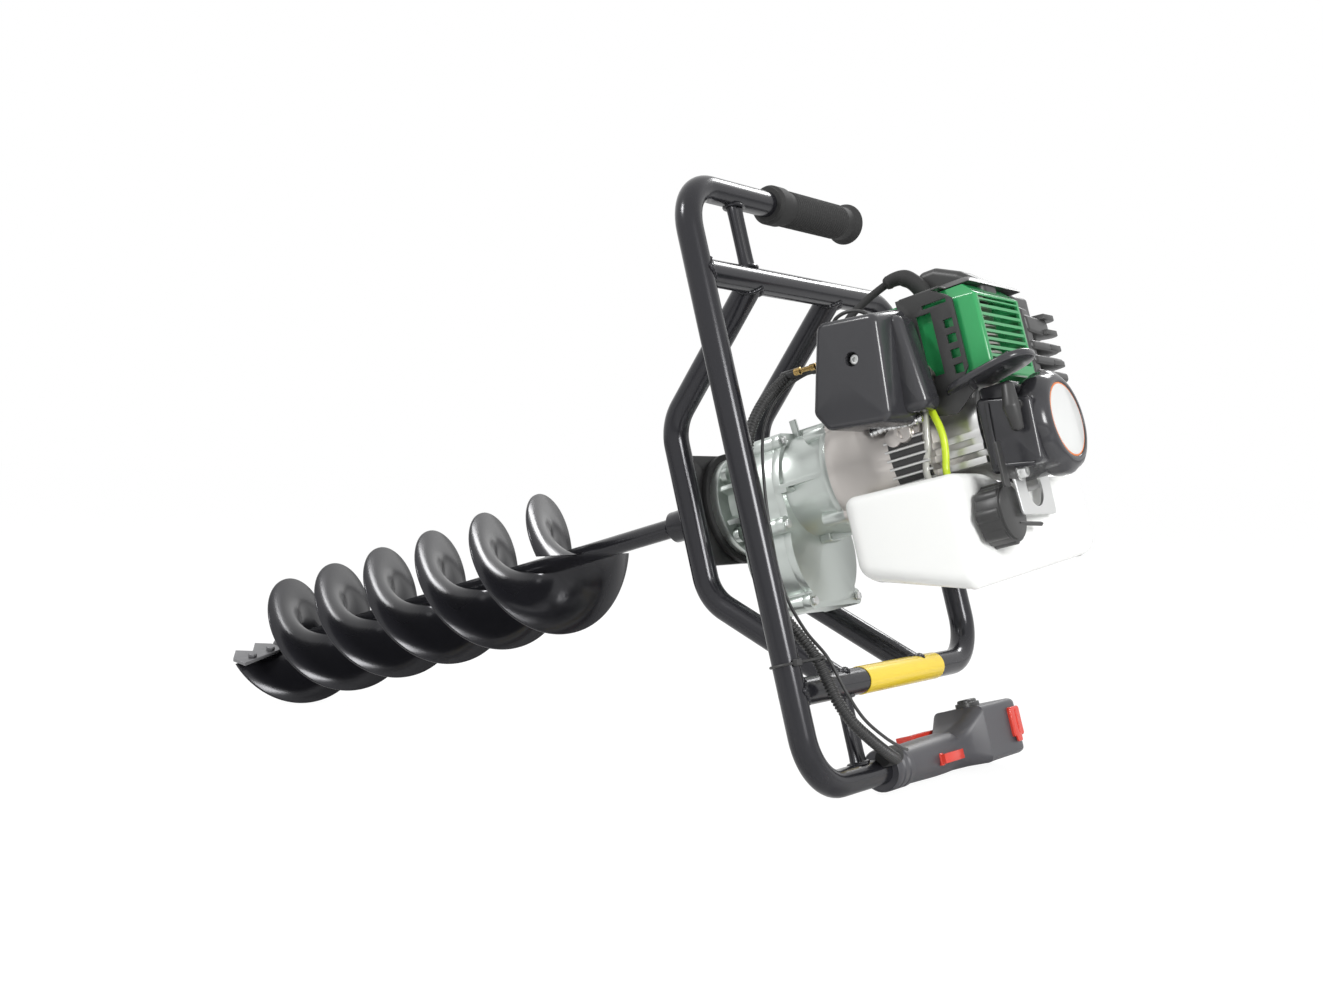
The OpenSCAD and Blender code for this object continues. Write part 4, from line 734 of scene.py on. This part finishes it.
def throttle_conduit(pitch):
    """Corrugated conduit, whose radius along the route is a squared-off wave at the rib pitch, its
    connector and adjuster, the switch wire, and the tie that holds them to the main bar."""
    path = spaced(smooth_path(CONDUIT, 12), pitch / RIB_STEPS)
    wave = np.cos(np.arange(len(path)) * 2 * np.pi / RIB_STEPS)
    radius = CONDUIT_R - RIB_DEPTH + RIB_DEPTH * np.tanh(2.5 * wave)
    add_piece("corrugated_conduit", tube(path, radius, 18), "black_plastic",
              replaces=("throttle_conduit",), angle=60)
    tip = np.array(CONDUIT[-1], float)
    way = unit((0.04, 0, 1))
    plug = turned([[0.1, -6], [4.5, -6], [5.4, -4], [5.4, 12], [4.2, 15], [4.2, 26], [5, 28],
                   [5, 44], [3, 48], [0.1, 48]], tip, way, 24)
    add_piece("cable_connector", plug, "black_plastic")
    screw = turned([[0.1, 0], [3.4, 0], [3.4, 6], [2.2, 7], [2.2, 16], [3.2, 17], [3.2, 22],
                    [1.2, 23], [1.2, 30], [0.1, 30]], tip + way * 14 + (0, -9, 0), way, 20)
    add_piece("cable_adjuster", screw, "brass")
    wire = smooth_path([[262, -44, 156], [258, -62, 160], [246, -88, 161], [226, -110, 157],
                        [200, -123, 153], [168, -129, 146], [140, -130, 130], [104, -130, 118],
                        [60, -129, 116], [10, -124, 117], [-40, -112, 120], [-70, -94, 128],
                        [-86, -78, 142], [-92, -74, 168]])
    add_piece("switch_wire", tube(wire, SWITCH_WIRE_R, 12), "black_plastic")
    # The tie's loop: in each direction, the further point of a circle around either tube
    a = np.linspace(0, 2 * np.pi, 61)
    way = np.stack([np.cos(a), np.sin(a)], -1)
    held = np.array([[BAR_Y, FRAME_Z], [-138, 140.5]])
    reach = np.array([TUBE_R, CONDUIT_R]) + TIE_LIFT
    far = (way @ held.T + reach).argmax(1)
    tie = np.c_[np.full(len(a), TIE_X), held[far] + reach[far][:, None] * way]
    lock = plate(oblong(3, 4), 1, -2, 3, 0.6, (TIE_X, BAR_Y - 4, FRAME_Z + 14), XYZ)
    add_piece("cable_tie", joined([tube(tie, TIE_R, 8, (1, 0.01, 0)), lock]), "black_plastic")


def throttle_handle():
    """Throttle housing: round clamp with ribs around the tube, a body that swells by a smooth step
    towards the head, and a flat-faced head, each a stack of rounded outlines along the handle.
    The conduit's boot, the lock button and the stop rocker stand on it."""
    y = np.array([-41.5, -42, -40, -33, -31, -29, -22, -20, -18, -11, -9, -4, 10, 30, 50, 70, 90,
                  105, 116, 128, 150, 170, 186, 191, 193.5])
    ribs = np.array([17.0, 17.4, 18.8, 18.8, 17.2, 18.8, 18.8, 17.2, 18.8, 18.8, 17.2])
    at, direction = loop_around(oblong(1, 1), 8)
    grow = np.clip((y - 95) / 22, 0, 1)[:, None]
    grow = grow * grow * (3 - 2 * grow)
    radius = np.interp(y, [-9, 60, 95, 117, 188, 191.5, 193.5], [17.4, 19, 18, 6, 6, 5.2, 3])
    radius[:len(ribs)] = ribs
    corner_x = np.where(at[:, 0] < 0, -1 - 30 * grow, 1 + 12 * grow)
    corner_z = np.where(at[:, 1] < 0, -1 - 10 * grow, 1 + 30 * grow)
    flat = np.stack([corner_x, corner_z], -1) + radius[:, None, None] * direction
    add_piece("throttle_shell", shell(placed(flat, y, (HANDLE_X, 0, FRAME_Z), XZY)),
              "grey_plastic", replaces=("throttle_housing",), angle=38)
    boot = turned([[0.1, -14], [7.5, -14], [8.6, -12], [9, 6], [8, 12], [0.1, 12]],
                  (HANDLE_X - 12, -44, FRAME_Z + 14), EY, 28)
    add_piece("conduit_boot", boot, "rubber")
    button = (HANDLE_X - 41, 133, FRAME_Z + 14), (EY, EZ, (-1, 0, 0))
    cap = rounded_block([[-6, 0], [6, 0]], 7, -6, 3.8, 2.2, *button)
    rim = rounded_block([[-6, 0], [6, 0]], 9.4, -6, 0.6, 0.8, *button)
    add_piece("lock_button_cap", joined([cap, rim]), "black_plastic", "lock", ("lock_button",))
    rocker = (HANDLE_X - 13, node_box("throttle_housing")[0][1] + 225, FRAME_Z + 33)
    face = rounded_block(oblong(12, 8), 3, -3, 7.8, 2, rocker, XYZ)
    tab = rounded_block([[10, -5], [18, -5], [18, 1], [10, 1]], 2.5, 5.4, 8, 1, rocker, XYZ)
    ridge = bar([np.add(rocker, (-12, 0, 7.8)), np.add(rocker, (12, 0, 7.8))], 2.4, 1.6)
    add_piece("stop_rocker", joined([face, tab, ridge]), "red_plastic", "switch", ("stop_switch",))


# Engine
# The tank's outline: half its width along y, and its foot, near and far ends along z
TANK_HALF = 92.0
TANK_FOOT_Z = 171.0
TANK_NEAR_Z = 285.0
TANK_FAR_Z = 329.0
TANK_CORNERS = [[-TANK_HALF, TANK_FOOT_Z], [TANK_HALF, TANK_FOOT_Z], [TANK_HALF, TANK_FAR_Z],
                [-TANK_HALF, TANK_NEAR_Z]]
TANK_CORNER_R = 13.0
# Places along x of the tank's two faces at their four corners, as [y][z]
TANK_TOP = np.array([[32, 36], [32, 48]])
TANK_BOTTOM = np.array([[110, 144], [104, 123]])
# Rounding of the two faces' rims
TANK_TOP_RIM = 9.0
TANK_LOW_RIM = 17.0
# Where the faces start to slope, and the wall that the filler cap stands on
TANK_SLOPE_Z = 178.0
CAP_PLACE = (80.0, -58.0)
CAP_WALL_Z = 292.4
# The starter's centre, the two rooms in the tank's top, and how softly it dips into them
STARTER_X = 8.0
FAN_ROOM_R = 68.0
FAN_ROOM_Z = 256.0
STARTER_ROOM_R = 52.0
DIP_BLEND = 5.0


def tank_height(corner_values, y, z):
    """Place along x of a tank face: the values at its corners, shared in turn by the distances
    along z, over a length that grows with y, and along y."""
    v = np.clip((y + TANK_HALF) / (2 * TANK_HALF), 0, 1)
    length = TANK_NEAR_Z - TANK_SLOPE_Z + (TANK_FAR_Z - TANK_NEAR_Z) * v
    u = np.clip((z - TANK_SLOPE_Z) / length, 0, 1)
    low = corner_values[0, 0] * (1 - u) + corner_values[0, 1] * u
    high = corner_values[1, 0] * (1 - u) + corner_values[1, 1] * u
    return low * (1 - v) + high * v


def engine_room(y, z):
    """Height of the hollow that the tank leaves for the engine: a circle's height over its chord
    for each of two round cases, of which the wider one ends at a place along z."""
    fan = np.sqrt(np.maximum(FAN_ROOM_R ** 2 - y ** 2, 0)) * np.clip((FAN_ROOM_Z - z) / 6, 0, 1)
    starter = STARTER_X + np.sqrt(np.maximum(STARTER_ROOM_R ** 2 - y ** 2, 0))
    return np.maximum(fan, np.where(np.abs(y) < STARTER_ROOM_R, starter, 0))


def fuel_tank():
    """Blow-moulded tank: an even outline whose rings climb over the bottom's and the top's
    rounding, where the top dips by a smooth maximum, (a + b + sqrt((a - b)^2 + k^2)) / 2, into the
    engine's room, and the far wall is pressed flat around the filler cap."""
    centres = corner_centres(TANK_CORNERS, TANK_CORNER_R)
    edge, direction = even_outline(centres, TANK_CORNER_R, 180)
    centre = edge.mean(0)
    rings, heights = [], []

    def add_ring(flat, face, rise=0.0):
        rings.append(flat)
        heights.append(tank_height(face, *flat.T) + rise)

    for f in np.linspace(0.03, 0.97, 26):
        add_ring(centre + f * (edge - TANK_TOP_RIM * direction - centre), TANK_TOP)
    for inset, depth in quarter(TANK_TOP_RIM, 7):
        add_ring(edge - inset * direction, TANK_TOP, depth)
    upper = tank_height(TANK_TOP, *edge.T) + TANK_TOP_RIM
    lower = tank_height(TANK_BOTTOM, *edge.T) - TANK_LOW_RIM
    for f in np.linspace(0, 1, 18)[1:-1]:
        rings.append(edge)
        heights.append(upper + f * (lower - upper))
    for inset, depth in quarter(TANK_LOW_RIM, 9)[::-1]:
        add_ring(edge - inset * direction, TANK_BOTTOM, -depth)
    for f in np.linspace(0.95, 0.03, 12):
        add_ring(centre + f * (edge - TANK_LOW_RIM * direction - centre), TANK_BOTTOM)
    x = np.array(heights)
    y, z = np.moveaxis(np.array(rings), -1, 0)
    room = engine_room(y, z)
    x = (x + room + np.sqrt((x - room) ** 2 + DIP_BLEND ** 2)) / 2
    apart = np.hypot(x - CAP_PLACE[0], y - CAP_PLACE[1])
    z = np.minimum(z, CAP_WALL_Z + 90 * np.clip((apart - 33) / 9, 0, 1) ** 2)
    add_piece("tank_shell", shell(np.stack([x, y, z], -1)), "tank_white",
              replaces=("fuel_tank",), angle=60)
    pad = bar([(90, -50, 314.5), (92, -8, 317)], 3.4, 3.4, (0, 1, 0.1))
    add_piece("tank_pad", pad, "black_plastic")


# Place of the muffler cover's front along y
MUFFLER_FRONT = -113.0


def muffler_guard():
    """Muffler cover: a block with rounded corners that widens away from its front, with a hole
    over the muffler's screw, and a roll at its engine edge. Behind it are the creased foil at its
    side, whose radius is the sum of two waves, and the fan case's boss."""
    front = [[-112, 205], [-46, 185.5], [-35, 192], [-29, 241], [-106, 248]]
    back = [[-116, 207], [-43, 189], [-34, 196], [-25, 246], [-113, 254]]
    box = rounded_block(front, 9, 0, 51.5, 5, (0, MUFFLER_FRONT, 0), XZY, back)
    cover = add_piece("muffler_guard", box, "cover_black", replaces=("muffler_cover",))
    drill(cover, 6.5, -10, 9, (-81, MUFFLER_FRONT, 226), EY, 40)
    roll = rounded_block([[-107, 240], [-36, 234], [-33, 266], [-104, 259]], 9, 0, 32, 8,
                         (0, -88, 0), XZY)
    add_piece("muffler_guard_roll", roll, "cover_black")
    edge = smooth_path([[-20, -70, 206], [-21, -69, 222], [-19, -69, 240], [-20, -68, 258]], 12)
    step = np.arange(len(edge))
    crease = 3.6 + 0.7 * np.sin(step * 1.9) + 0.5 * np.sin(step * 3.1)
    add_piece("heat_foil", tube(edge, crease, 14), "foil")
    boss = turned([[0.1, 0], [9, 0], [9, 9], [8, 10.4], [5, 10.4], [4.6, 8.6], [0.1, 8.6]],
                  (-12, -60, 236), (0, -1, 0), 32)
    add_piece("fan_case_boss", boss, "raw_aluminium")


# Directions across, up and out of the deflector plate
DEFLECTOR_TILT = (EY, (-0.19, 0, 0.982), (-0.982, 0, -0.19))


def deflector():
    """Deflector plate with a wide round outline, seen nearly edge-on, its bolt hole and the short
    ridges that fan out at its upper edge."""
    body = rounded_block(oblong(3, 16), 26, -1, 5.5, 2.4, (-42.5, -38, 317), DEFLECTOR_TILT)
    piece = add_piece("deflector_plate", body, "cover_black",
                      replaces=("baffle_plate",))
    ridges = [bar([(-51, y - 38, 344 - abs(y) * 0.5), (-54, y - 38, 357 - abs(y) * 0.6)], 2.2, 2.4,
                  EY) for y in (-20, -7, 7, 20)]
    add_piece("deflector_ridges", joined(ridges), "black_plastic")
    drill(piece, 3.6, -20, 20, (-46, -46, 329), EX, 24)


def starter_cover():
    """Starter cover: a turned case whose outer rim is scalloped by a wave with broad lobes and
    narrow notches, the flat panel and block beside it, the guide of the cord and the plain disc.
    Each point of the case's profile is its radius, its place and the wave's height there."""
    profile = np.array([[30, 298, 0], [44, 298.4, 0], [45.6, 300, 0], [45.6, 331, 0],
                        [46.4, 334, 0], [46.8, 336, 0.6], [47.6, 338.5, 1.8], [48, 342, 2.4],
                        [48, 350, 2.4], [47.2, 353.5, 2.2], [45.2, 357, 1.4], [42.4, 359.6, 0.5],
                        [40, 360.8, 0], [38, 361, 0], [36.6, 361, 0], [36, 360.6, 0],
                        [35.8, 359.9, 0]])
    a = np.linspace(0, 2 * np.pi, 200, endpoint=False)
    wave = 1 - (0.5 - 0.5 * np.cos(8 * a + 0.6)) ** 3
    r = profile[:, :1] * 0.95 + profile[:, 2:] * (wave - 0.2)
    z = np.broadcast_to(profile[:, 1:2], r.shape)
    case = shell(np.stack([STARTER_X + r * np.cos(a), r * np.sin(a), z], -1))
    panel = rounded_block([[-29, -19], [29, -19], [29, 19], [-20, 21]], 5, 0, 36, 3.5,
                          (10, -14, 325), (EX, EZ, (0, -1, 0)))
    block = rounded_block(oblong(10, 27), 3, 0, 30, 2.5, (-23, 0, 298.2), XYZ)
    rib = bar([(-18, -50.4, 312), (38, -50.4, 308)], 4, 3, EY)
    lip = bar([(38, -50.4, 308), (44, -50.4, 342)], 4, 3, EY)
    guide = turned([[0.1, 0], [8.4, 0], [8.4, 4.5], [7.5, 7], [4.6, 8], [4.4, 3], [0.1, 3]],
                   (0, -40, 338), (0, -1, 0), 32)
    add_piece("starter_cover", joined([case, panel, block, rib, lip, guide]), "cover_black",
              replaces=("starter_case",))
    for name, profile, material, slot in (
            ("starter_disc", [[0.1, 359.7], [32.2, 359.7], [32.2, 360.5], [31.9, 360.7],
                              [0.1, 360.7]], "disc_face", "white_plastic"),
            ("starter_disc_rim", [[0.1, 359.4], [33.6, 359.4], [33.6, 360.3], [0.1, 360.3]],
             "orange_paint", "red_plastic")):
        add_piece(name, turned(profile, (STARTER_X, 0, 0), EZ, 96), material)


def tank_fixings():
    """The strap beside the tank bracket, the bracket's plate with its round hole, and its bolt."""
    strap = plate([[20, -80], [60, -82], [60, -70], [20, -71]], 2, 0, 2.6, 0.6, (0, 0, 322), XYZ)
    tab = plate([[42, -76], [52, -76], [53, -38], [41, -38]], 2, 0, 2.4, 0.5, (0, 0, 321.6), XYZ)
    add_piece("tank_strap", joined([strap, tab]), "black_plastic")
    bracket = plate([[42, -53], [84, -50], [84, 22], [42, 24]], 4, -2.4, 0, 0.6, (0, 0, 321.5),
                    XYZ)
    piece = add_piece("tank_bracket_plate", bracket, "zinc", replaces=("tank_bracket",))
    drill(piece, 17, -9, 9, (60, -14, 320), EZ, 48)
    bolt = turned([[0.1, 0], [7.6, 0], [7.6, 1.4], [5.6, 1.5], [5.6, 6.5], [5, 7.4], [3, 7.4],
                   [2.6, 5], [0.1, 5]], (47, -44, 323.6), EZ, 24)
    add_piece("tank_bolt", bolt, "zinc")


def fuel_hoses():
    """Two soft hoses from the tank's grommet up to the engine, one yellow-green and one clear,
    and the rubber boot that they leave from."""
    green = smooth_path([[40, -66, 268], [30, -63, 266], [16, -62, 268.5], [3, -62, 270],
                         [-9, -61, 268.5], [-18, -59, 265.5], [-26, -55, 262], [-32, -50, 260]])
    clear = smooth_path([[40, -66, 251], [29, -63, 247], [18, -62, 248.5], [6, -62, 252.5],
                         [-6, -61, 254.5], [-16, -59, 255.5], [-26, -55, 256], [-32, -50, 256]])
    add_piece("fuel_hose_green", tube(green, 3.3, 20), "fuel_line_yellow", replaces=("fuel_lines",))
    add_piece("fuel_hose_clear", tube(clear, 3.2, 20), "clear_hose")
    boot = rounded_block(oblong(4, 9), 5, 0, 7, 2.5, (42, -66, 260), (EY, EZ, (-1, 0, 0)))
    add_piece("hose_boot", boot, "rubber")


def plug_lead():
    """The plug's elbow boot, which thins along its bend and swells once in its middle, and the
    lead that runs down behind the muffler cover, with the loop of the switch wire beside it."""
    path = smooth_path([[-132, -12, 262], [-143, -16, 261], [-153, -19, 255], [-158.5, -20, 247],
                        [-159.5, -20, 238], [-158, -20, 230]])
    share = np.linspace(0, 1, len(path))
    radius = 8.6 - 2.6 * share + 0.7 * np.exp(-((share - 0.52) / 0.1) ** 2)
    radius[-6:] = np.linspace(6.6, 5.4, 6)
    lead = smooth_path([[-158.5, -20, 233], [-154, -21, 219], [-147, -25, 205], [-139, -31, 194],
                        [-128, -37, 186], [-114, -38, 184], [-100, -30, 192], [-90, -16, 207],
                        [-82, -3, 221]])
    loop = smooth_path([[-96, -48, 180], [-118, -56, 181], [-132, -60, 190], [-136, -60, 204],
                        [-132, -58, 218], [-122, -54, 226], [-112, -48, 224]])
    add_piece("plug_boot_and_lead", joined([tube(path, radius, 28), tube(lead, 3.6, 18)]),
              "rubber", replaces=("plug_boot_lead",))
    add_piece("switch_wire_loop", tube(loop, 1.8, 12), "black_plastic")


GRILLE_R = 66.2


def fan_grille():
    """Cooling slots of the fan case: bright bars along the case over a dark curved panel, which is painted shade
    standing in for the shadowed inside of the slots.
    """
    a = np.radians(np.linspace(-98, -53, 24))
    inner = GRILLE_R * np.stack([np.cos(a), np.sin(a)], -1)
    outline = np.concatenate([inner, inner[::-1] * 0.985])
    rings = [np.c_[outline, np.full(len(outline), z)] for z in (217, 251)]
    # The dark panel is painted shade: a black sheet stands in for the shade inside the slots
    add_piece("fan_grille_painted_shade", shell(np.array(rings)), "black_plastic")
    bars = []
    for angle in np.radians(np.linspace(-96, -55, 7)):
        out = np.array([np.cos(angle), np.sin(angle), 0])
        at = (GRILLE_R + 0.8) * out
        bars.append(bar([at + (0, 0, 214), at + (0, 0, 254)], 2.4, 3.2, out))
    add_piece("fan_grille_bars", joined(bars), "silver_aluminium")


NECK_RIB_R = 41.5


def gear_ribs():
    """Cast ribs on the gearbox cover: an arc of wall around the neck, an arm out to the rim, a
    short rib and a lug."""
    top = node_box("gear_case")[1][2] + 8
    a = np.radians(np.linspace(-172, -8, 60))
    arc = np.stack([NECK_RIB_R * np.cos(a), NECK_RIB_R * np.sin(a), np.full_like(a, top + 3)], -1)
    add_piece("gear_cover_ribs", joined([
        bar(arc, 3.4, 9), bar([(5, -62, top + 4), (5, -34, top + 7)], 4.4, 11),
        bar([(-66, -9, top + 1.5), (-40, -8, top + 3)], 3.6, 7),
        plate(oblong(11, 13), 4, -1, 12, 2, (46, 8, top), XYZ)]), "case_aluminium")


def shroud_fins():
    """Cooling shroud beyond the green cover: three finger fins rounded at their tips, a wider one
    beside them, the crown over the plug and the wall that the fins stand on."""
    reach = node_box("air_cleaner")[1][1]
    parts = []
    for x, tip in ((-76, -3), (-62, 0), (-48, 3)):
        outline = [[58, 302], [reach - 5 + tip, 306], [reach - 6 + tip, 318], [58, 320]]
        parts.append(rounded_block(outline, 5.9, -4.6, 4.6, 3.6, (x, 0, 0), YZX))
    wide = [[56, 300], [reach - 12, 306], [reach - 14, 316], [56, 321]]
    parts.append(rounded_block(wide, 4.5, -10, 7, 3.5, (-95, 0, 0), (EY, EZ, (1, 0.12, 0))))
    crown = [[-125, 309], [-130, 309], [-143, 293], [-153, 272], [-153, 262], [-146, 256],
             [-125, 258]]
    parts.append(rounded_block(crown, 8, -8, 24, 7, (0, 0, 0), XZY))
    wall = [[50, 296], [66, 296], [66, 318], [50, 320]]
    parts.append(rounded_block(wall, 4, -46, 20, 3, (-66, 0, 0), YZX))
    add_piece("shroud_fins", joined(parts), "black_plastic")


def finish_nodes(edge):
    """Every CAD node that shows keeps its shape in a copy with rounded edges and smooth curves,
    four of them reshaped; the sealed inner ones keep theirs and take the material alone."""
    width = edge / MM
    rounded = {
        "mount_plate": 0.5, "vibration_ring": 0.5, "marker_sleeve": 0, "gear_case": width,
        "gear_cover": width, "gear_cover_bolts": 0.3, "flange_bolts": 0.3, "auger_shaft": 0.4,
        "cutter_blades": 0.3, "cutter_bolts": 0.3, "drive_pin": 0.4, "fan_case": width,
        "crankcase": width, "engine_cylinder": 0.3, "spark_plug": 0.3,
        "ignition_coil": 0.4, "muffler": 0.5, "muffler_screws": 0.3, "cylinder_cover": 0.4,
        "top_shroud": 0.3, "carburettor": 0.5, "throttle_lever": 0.3, "primer_bulb": 0.3,
        "air_cleaner": 0.4, "choke_lever": 0.4, "fuel_cap": 0.8,
        "starter_grip": 0.6, "trigger": 0.8, "safety_lever": 0.8, "output_shaft": 0.3}
    reshapes = {"cylinder_cover": lowered, "top_shroud": lowered, "muffler": drawn_in,
                "starter_grip": shortened}
    for node, solid in frame["nodes"].items():
        if node in rounded:
            dress(node, rounded[node], reshapes.get(node))
        elif not solid.hide_render:
            paint(solid.data, slot_of(node))


# Stage
WHITE = (1, 1, 1, 1)
# Strength of the world as light, where the camera sees 1
WORLD_LIGHT = 0.42
# The floor: strength of its glow, the share of it that the camera sees, half its side and its
# drop below the machine in metres
FLOOR_GLOW = 1.1
FLOOR_GLOW_SHARE = 0.86
FLOOR_REACH = 30.0
FLOOR_DROP = 0.0005
# Name, place and size in metres, and power in watts
LAMPS = (("key_lamp", (-0.9, -1.7, 2.3), 0.6, 34), ("side_lamp", (2.6, -1.0, 1.2), 0.8, 44),
         ("back_lamp", (0.2, 2.2, 2.0), 0.7, 26))
LAMP_AIM = Vector((0.15, 0, 0.25))
# The photograph's camera in machine axes, worked out from the photograph
CAMERA_PLACE = (200.2, -1365.7, 878.2)
CAMERA_AIM = (-35.1, 0.0, -82.9)
CAMERA_ROLL = 0.907
CAMERA_LENS = 44.3
CAMERA_SENSOR = 36.0


def studio_world(scene):
    """White world to the camera, in reflections and through clear things, and dimmer as light."""
    world = bpy.data.worlds.new("studio")
    scene.world = world
    world.use_nodes = True
    nodes = world.node_tree.nodes
    back = nodes["Background"]
    back.inputs["Color"].default_value = WHITE
    path = new_node(nodes, "LightPath")
    clear = new_node(nodes, "Math", operation="MAXIMUM")
    seen = new_node(nodes, "Math", operation="MAXIMUM")
    level = new_node(nodes, "MapRange", (("To Min", WORLD_LIGHT), ("To Max", 1.0)))
    link_up(world.node_tree.links, (
        (path.outputs["Is Glossy Ray"], clear.inputs[0]),
        (path.outputs["Is Transmission Ray"], clear.inputs[1]),
        (path.outputs["Is Camera Ray"], seen.inputs[0]),
        (clear.outputs[0], seen.inputs[1]),
        (seen.outputs[0], level.inputs["Value"]),
        (level.outputs["Result"], back.inputs["Strength"])))


def studio_floor(scene):
    """Wide pale floor, which keeps its shadows and glows white to the camera for most of it."""
    mat = bpy.data.materials.new("studio_floor")
    mat.use_nodes = True
    nodes = mat.node_tree.nodes
    shader = nodes["Principled BSDF"]
    set_sockets(shader, (("Base Color", (0.9, 0.9, 0.9, 1)), ("Roughness", 0.9),
                         ("Specular IOR Level", 0.0)))
    glow = new_node(nodes, "Emission", (("Color", WHITE), ("Strength", FLOOR_GLOW)))
    blend = new_node(nodes, "MixShader")
    path = new_node(nodes, "LightPath")
    part = new_node(nodes, "Math", ((1, FLOOR_GLOW_SHARE),), operation="MULTIPLY")
    link_up(mat.node_tree.links, (
        (path.outputs["Is Camera Ray"], part.inputs[0]),
        (part.outputs[0], blend.inputs[0]),
        (shader.outputs[0], blend.inputs[1]),
        (glow.outputs[0], blend.inputs[2]),
        (blend.outputs[0], nodes["Material Output"].inputs["Surface"])))
    mesh = bpy.data.meshes.new("studio_floor")
    mesh.from_pydata([(x, y, 0) for x, y in oblong(FLOOR_REACH, FLOOR_REACH)], [],
                     [(0, 1, 2, 3)])
    mesh.materials.append(mat)
    floor = bpy.data.objects.new("studio_floor", mesh)
    scene.collection.objects.link(floor)
    floor.location.z = -FLOOR_DROP


def studio_lamps(scene):
    """Soft lamps that look at the engine."""
    for name, place, size, power in LAMPS:
        light = bpy.data.lights.new(name, "AREA")
        light.size = size
        light.energy = power
        lamp = bpy.data.objects.new(name, light)
        lamp.location = place
        lamp.rotation_euler = (LAMP_AIM - Vector(place)).to_track_quat("-Z", "Y").to_euler()
        scene.collection.objects.link(lamp)


def photo_camera(scene):
    """The photograph's camera: it looks from its place at its aim, and is rolled a little."""
    eye = Vector(row(CAMERA_PLACE))
    aim = Vector(row(CAMERA_AIM))
    data = bpy.data.cameras.new("photo_camera")
    data.lens = CAMERA_LENS
    data.sensor_width = CAMERA_SENSOR
    camera = bpy.data.objects.new("photo_camera", data)
    turn = (aim - eye).to_track_quat("-Z", "Y").to_matrix()
    camera.matrix_world = (Matrix.Translation(eye) @ turn.to_4x4()
                           @ Matrix.Rotation(math.radians(CAMERA_ROLL), 4, "Z"))
    scene.collection.objects.link(camera)
    scene.camera = camera


class AUGER_OT_finishes(bpy.types.Operator):
    """Makes all of the materials"""
    bl_idname = "auger.finishes"
    bl_label = "Finishes"

    def execute(self, context):
        make_finishes(context.scene.auger_colours)
        return {"FINISHED"}


class AUGER_OT_frame_tubes(bpy.types.Operator):
    """Makes the frame's tubes, struts and weld beads"""
    bl_idname = "auger.frame_tubes"
    bl_label = "Frame tubes"

    def execute(self, context):
        frame_tubes()
        frame_struts()
        frame_welds(context.scene.auger_sizes.weld_bead / MM)
        hand_grip()
        return {"FINISHED"}


class AUGER_OT_flights(bpy.types.Operator):
    """Makes the auger's two flights"""
    bl_idname = "auger.flights"
    bl_label = "Flights"

    def execute(self, context):
        auger_flights()
        return {"FINISHED"}


class AUGER_OT_controls(bpy.types.Operator):
    """Makes the throttle handle and its corrugated conduit"""
    bl_idname = "auger.controls"
    bl_label = "Controls"

    def execute(self, context):
        throttle_handle()
        throttle_conduit(context.scene.auger_sizes.rib_pitch / MM)
        return {"FINISHED"}


class AUGER_OT_engine(bpy.types.Operator):
    """Makes the engine's covers, the tank, the starter and the hoses"""
    bl_idname = "auger.engine"
    bl_label = "Engine"

    def execute(self, context):
        for make in (fuel_tank, muffler_guard, deflector, starter_cover, tank_fixings,
                     fuel_hoses, plug_lead, fan_grille, gear_ribs, shroud_fins):
            make()
        return {"FINISHED"}


class AUGER_OT_nodes(bpy.types.Operator):
    """Rounds and finishes the CAD nodes that show"""
    bl_idname = "auger.nodes"
    bl_label = "Castings and covers"

    def execute(self, context):
        finish_nodes(context.scene.auger_sizes.edge_round)
        return {"FINISHED"}


class AUGER_OT_stage(bpy.types.Operator):
    """Makes the floor, lamps and camera"""
    bl_idname = "auger.stage"
    bl_label = "Stage"

    def execute(self, context):
        scene = context.scene
        scene.view_settings.view_transform = "Standard"
        studio_world(scene)
        studio_floor(scene)
        studio_lamps(scene)
        photo_camera(scene)
        return {"FINISHED"}


STEPS = (AUGER_OT_stage, AUGER_OT_finishes, AUGER_OT_frame_tubes, AUGER_OT_flights,
         AUGER_OT_controls, AUGER_OT_engine, AUGER_OT_nodes)


class AUGER_PT_panel(bpy.types.Panel):
    """Lists the steps in the 3D view's sidebar"""
    bl_idname = "AUGER_PT_panel"
    bl_label = "Earth auger"
    bl_space_type = "VIEW_3D"
    bl_region_type = "UI"
    bl_category = "Auger"

    def draw(self, context):
        for step in STEPS:
            self.layout.operator(step.bl_idname)


CLASSES = (AugerSizes, AugerColours) + STEPS + (AUGER_PT_panel,)


def register():
    for cls in CLASSES:
        bpy.utils.register_class(cls)
    bpy.types.Scene.auger_sizes = bpy.props.PointerProperty(type=AugerSizes)
    bpy.types.Scene.auger_colours = bpy.props.PointerProperty(type=AugerColours)


def unregister():
    del bpy.types.Scene.auger_sizes
    del bpy.types.Scene.auger_colours
    for cls in reversed(CLASSES):
        bpy.utils.unregister_class(cls)


def main():
    register()
    for step in STEPS:
        group, name = step.bl_idname.split(".")
        getattr(getattr(bpy.ops, group), name)()
    bpy.context.view_layer.update()


if __name__ == "__main__":
    main()
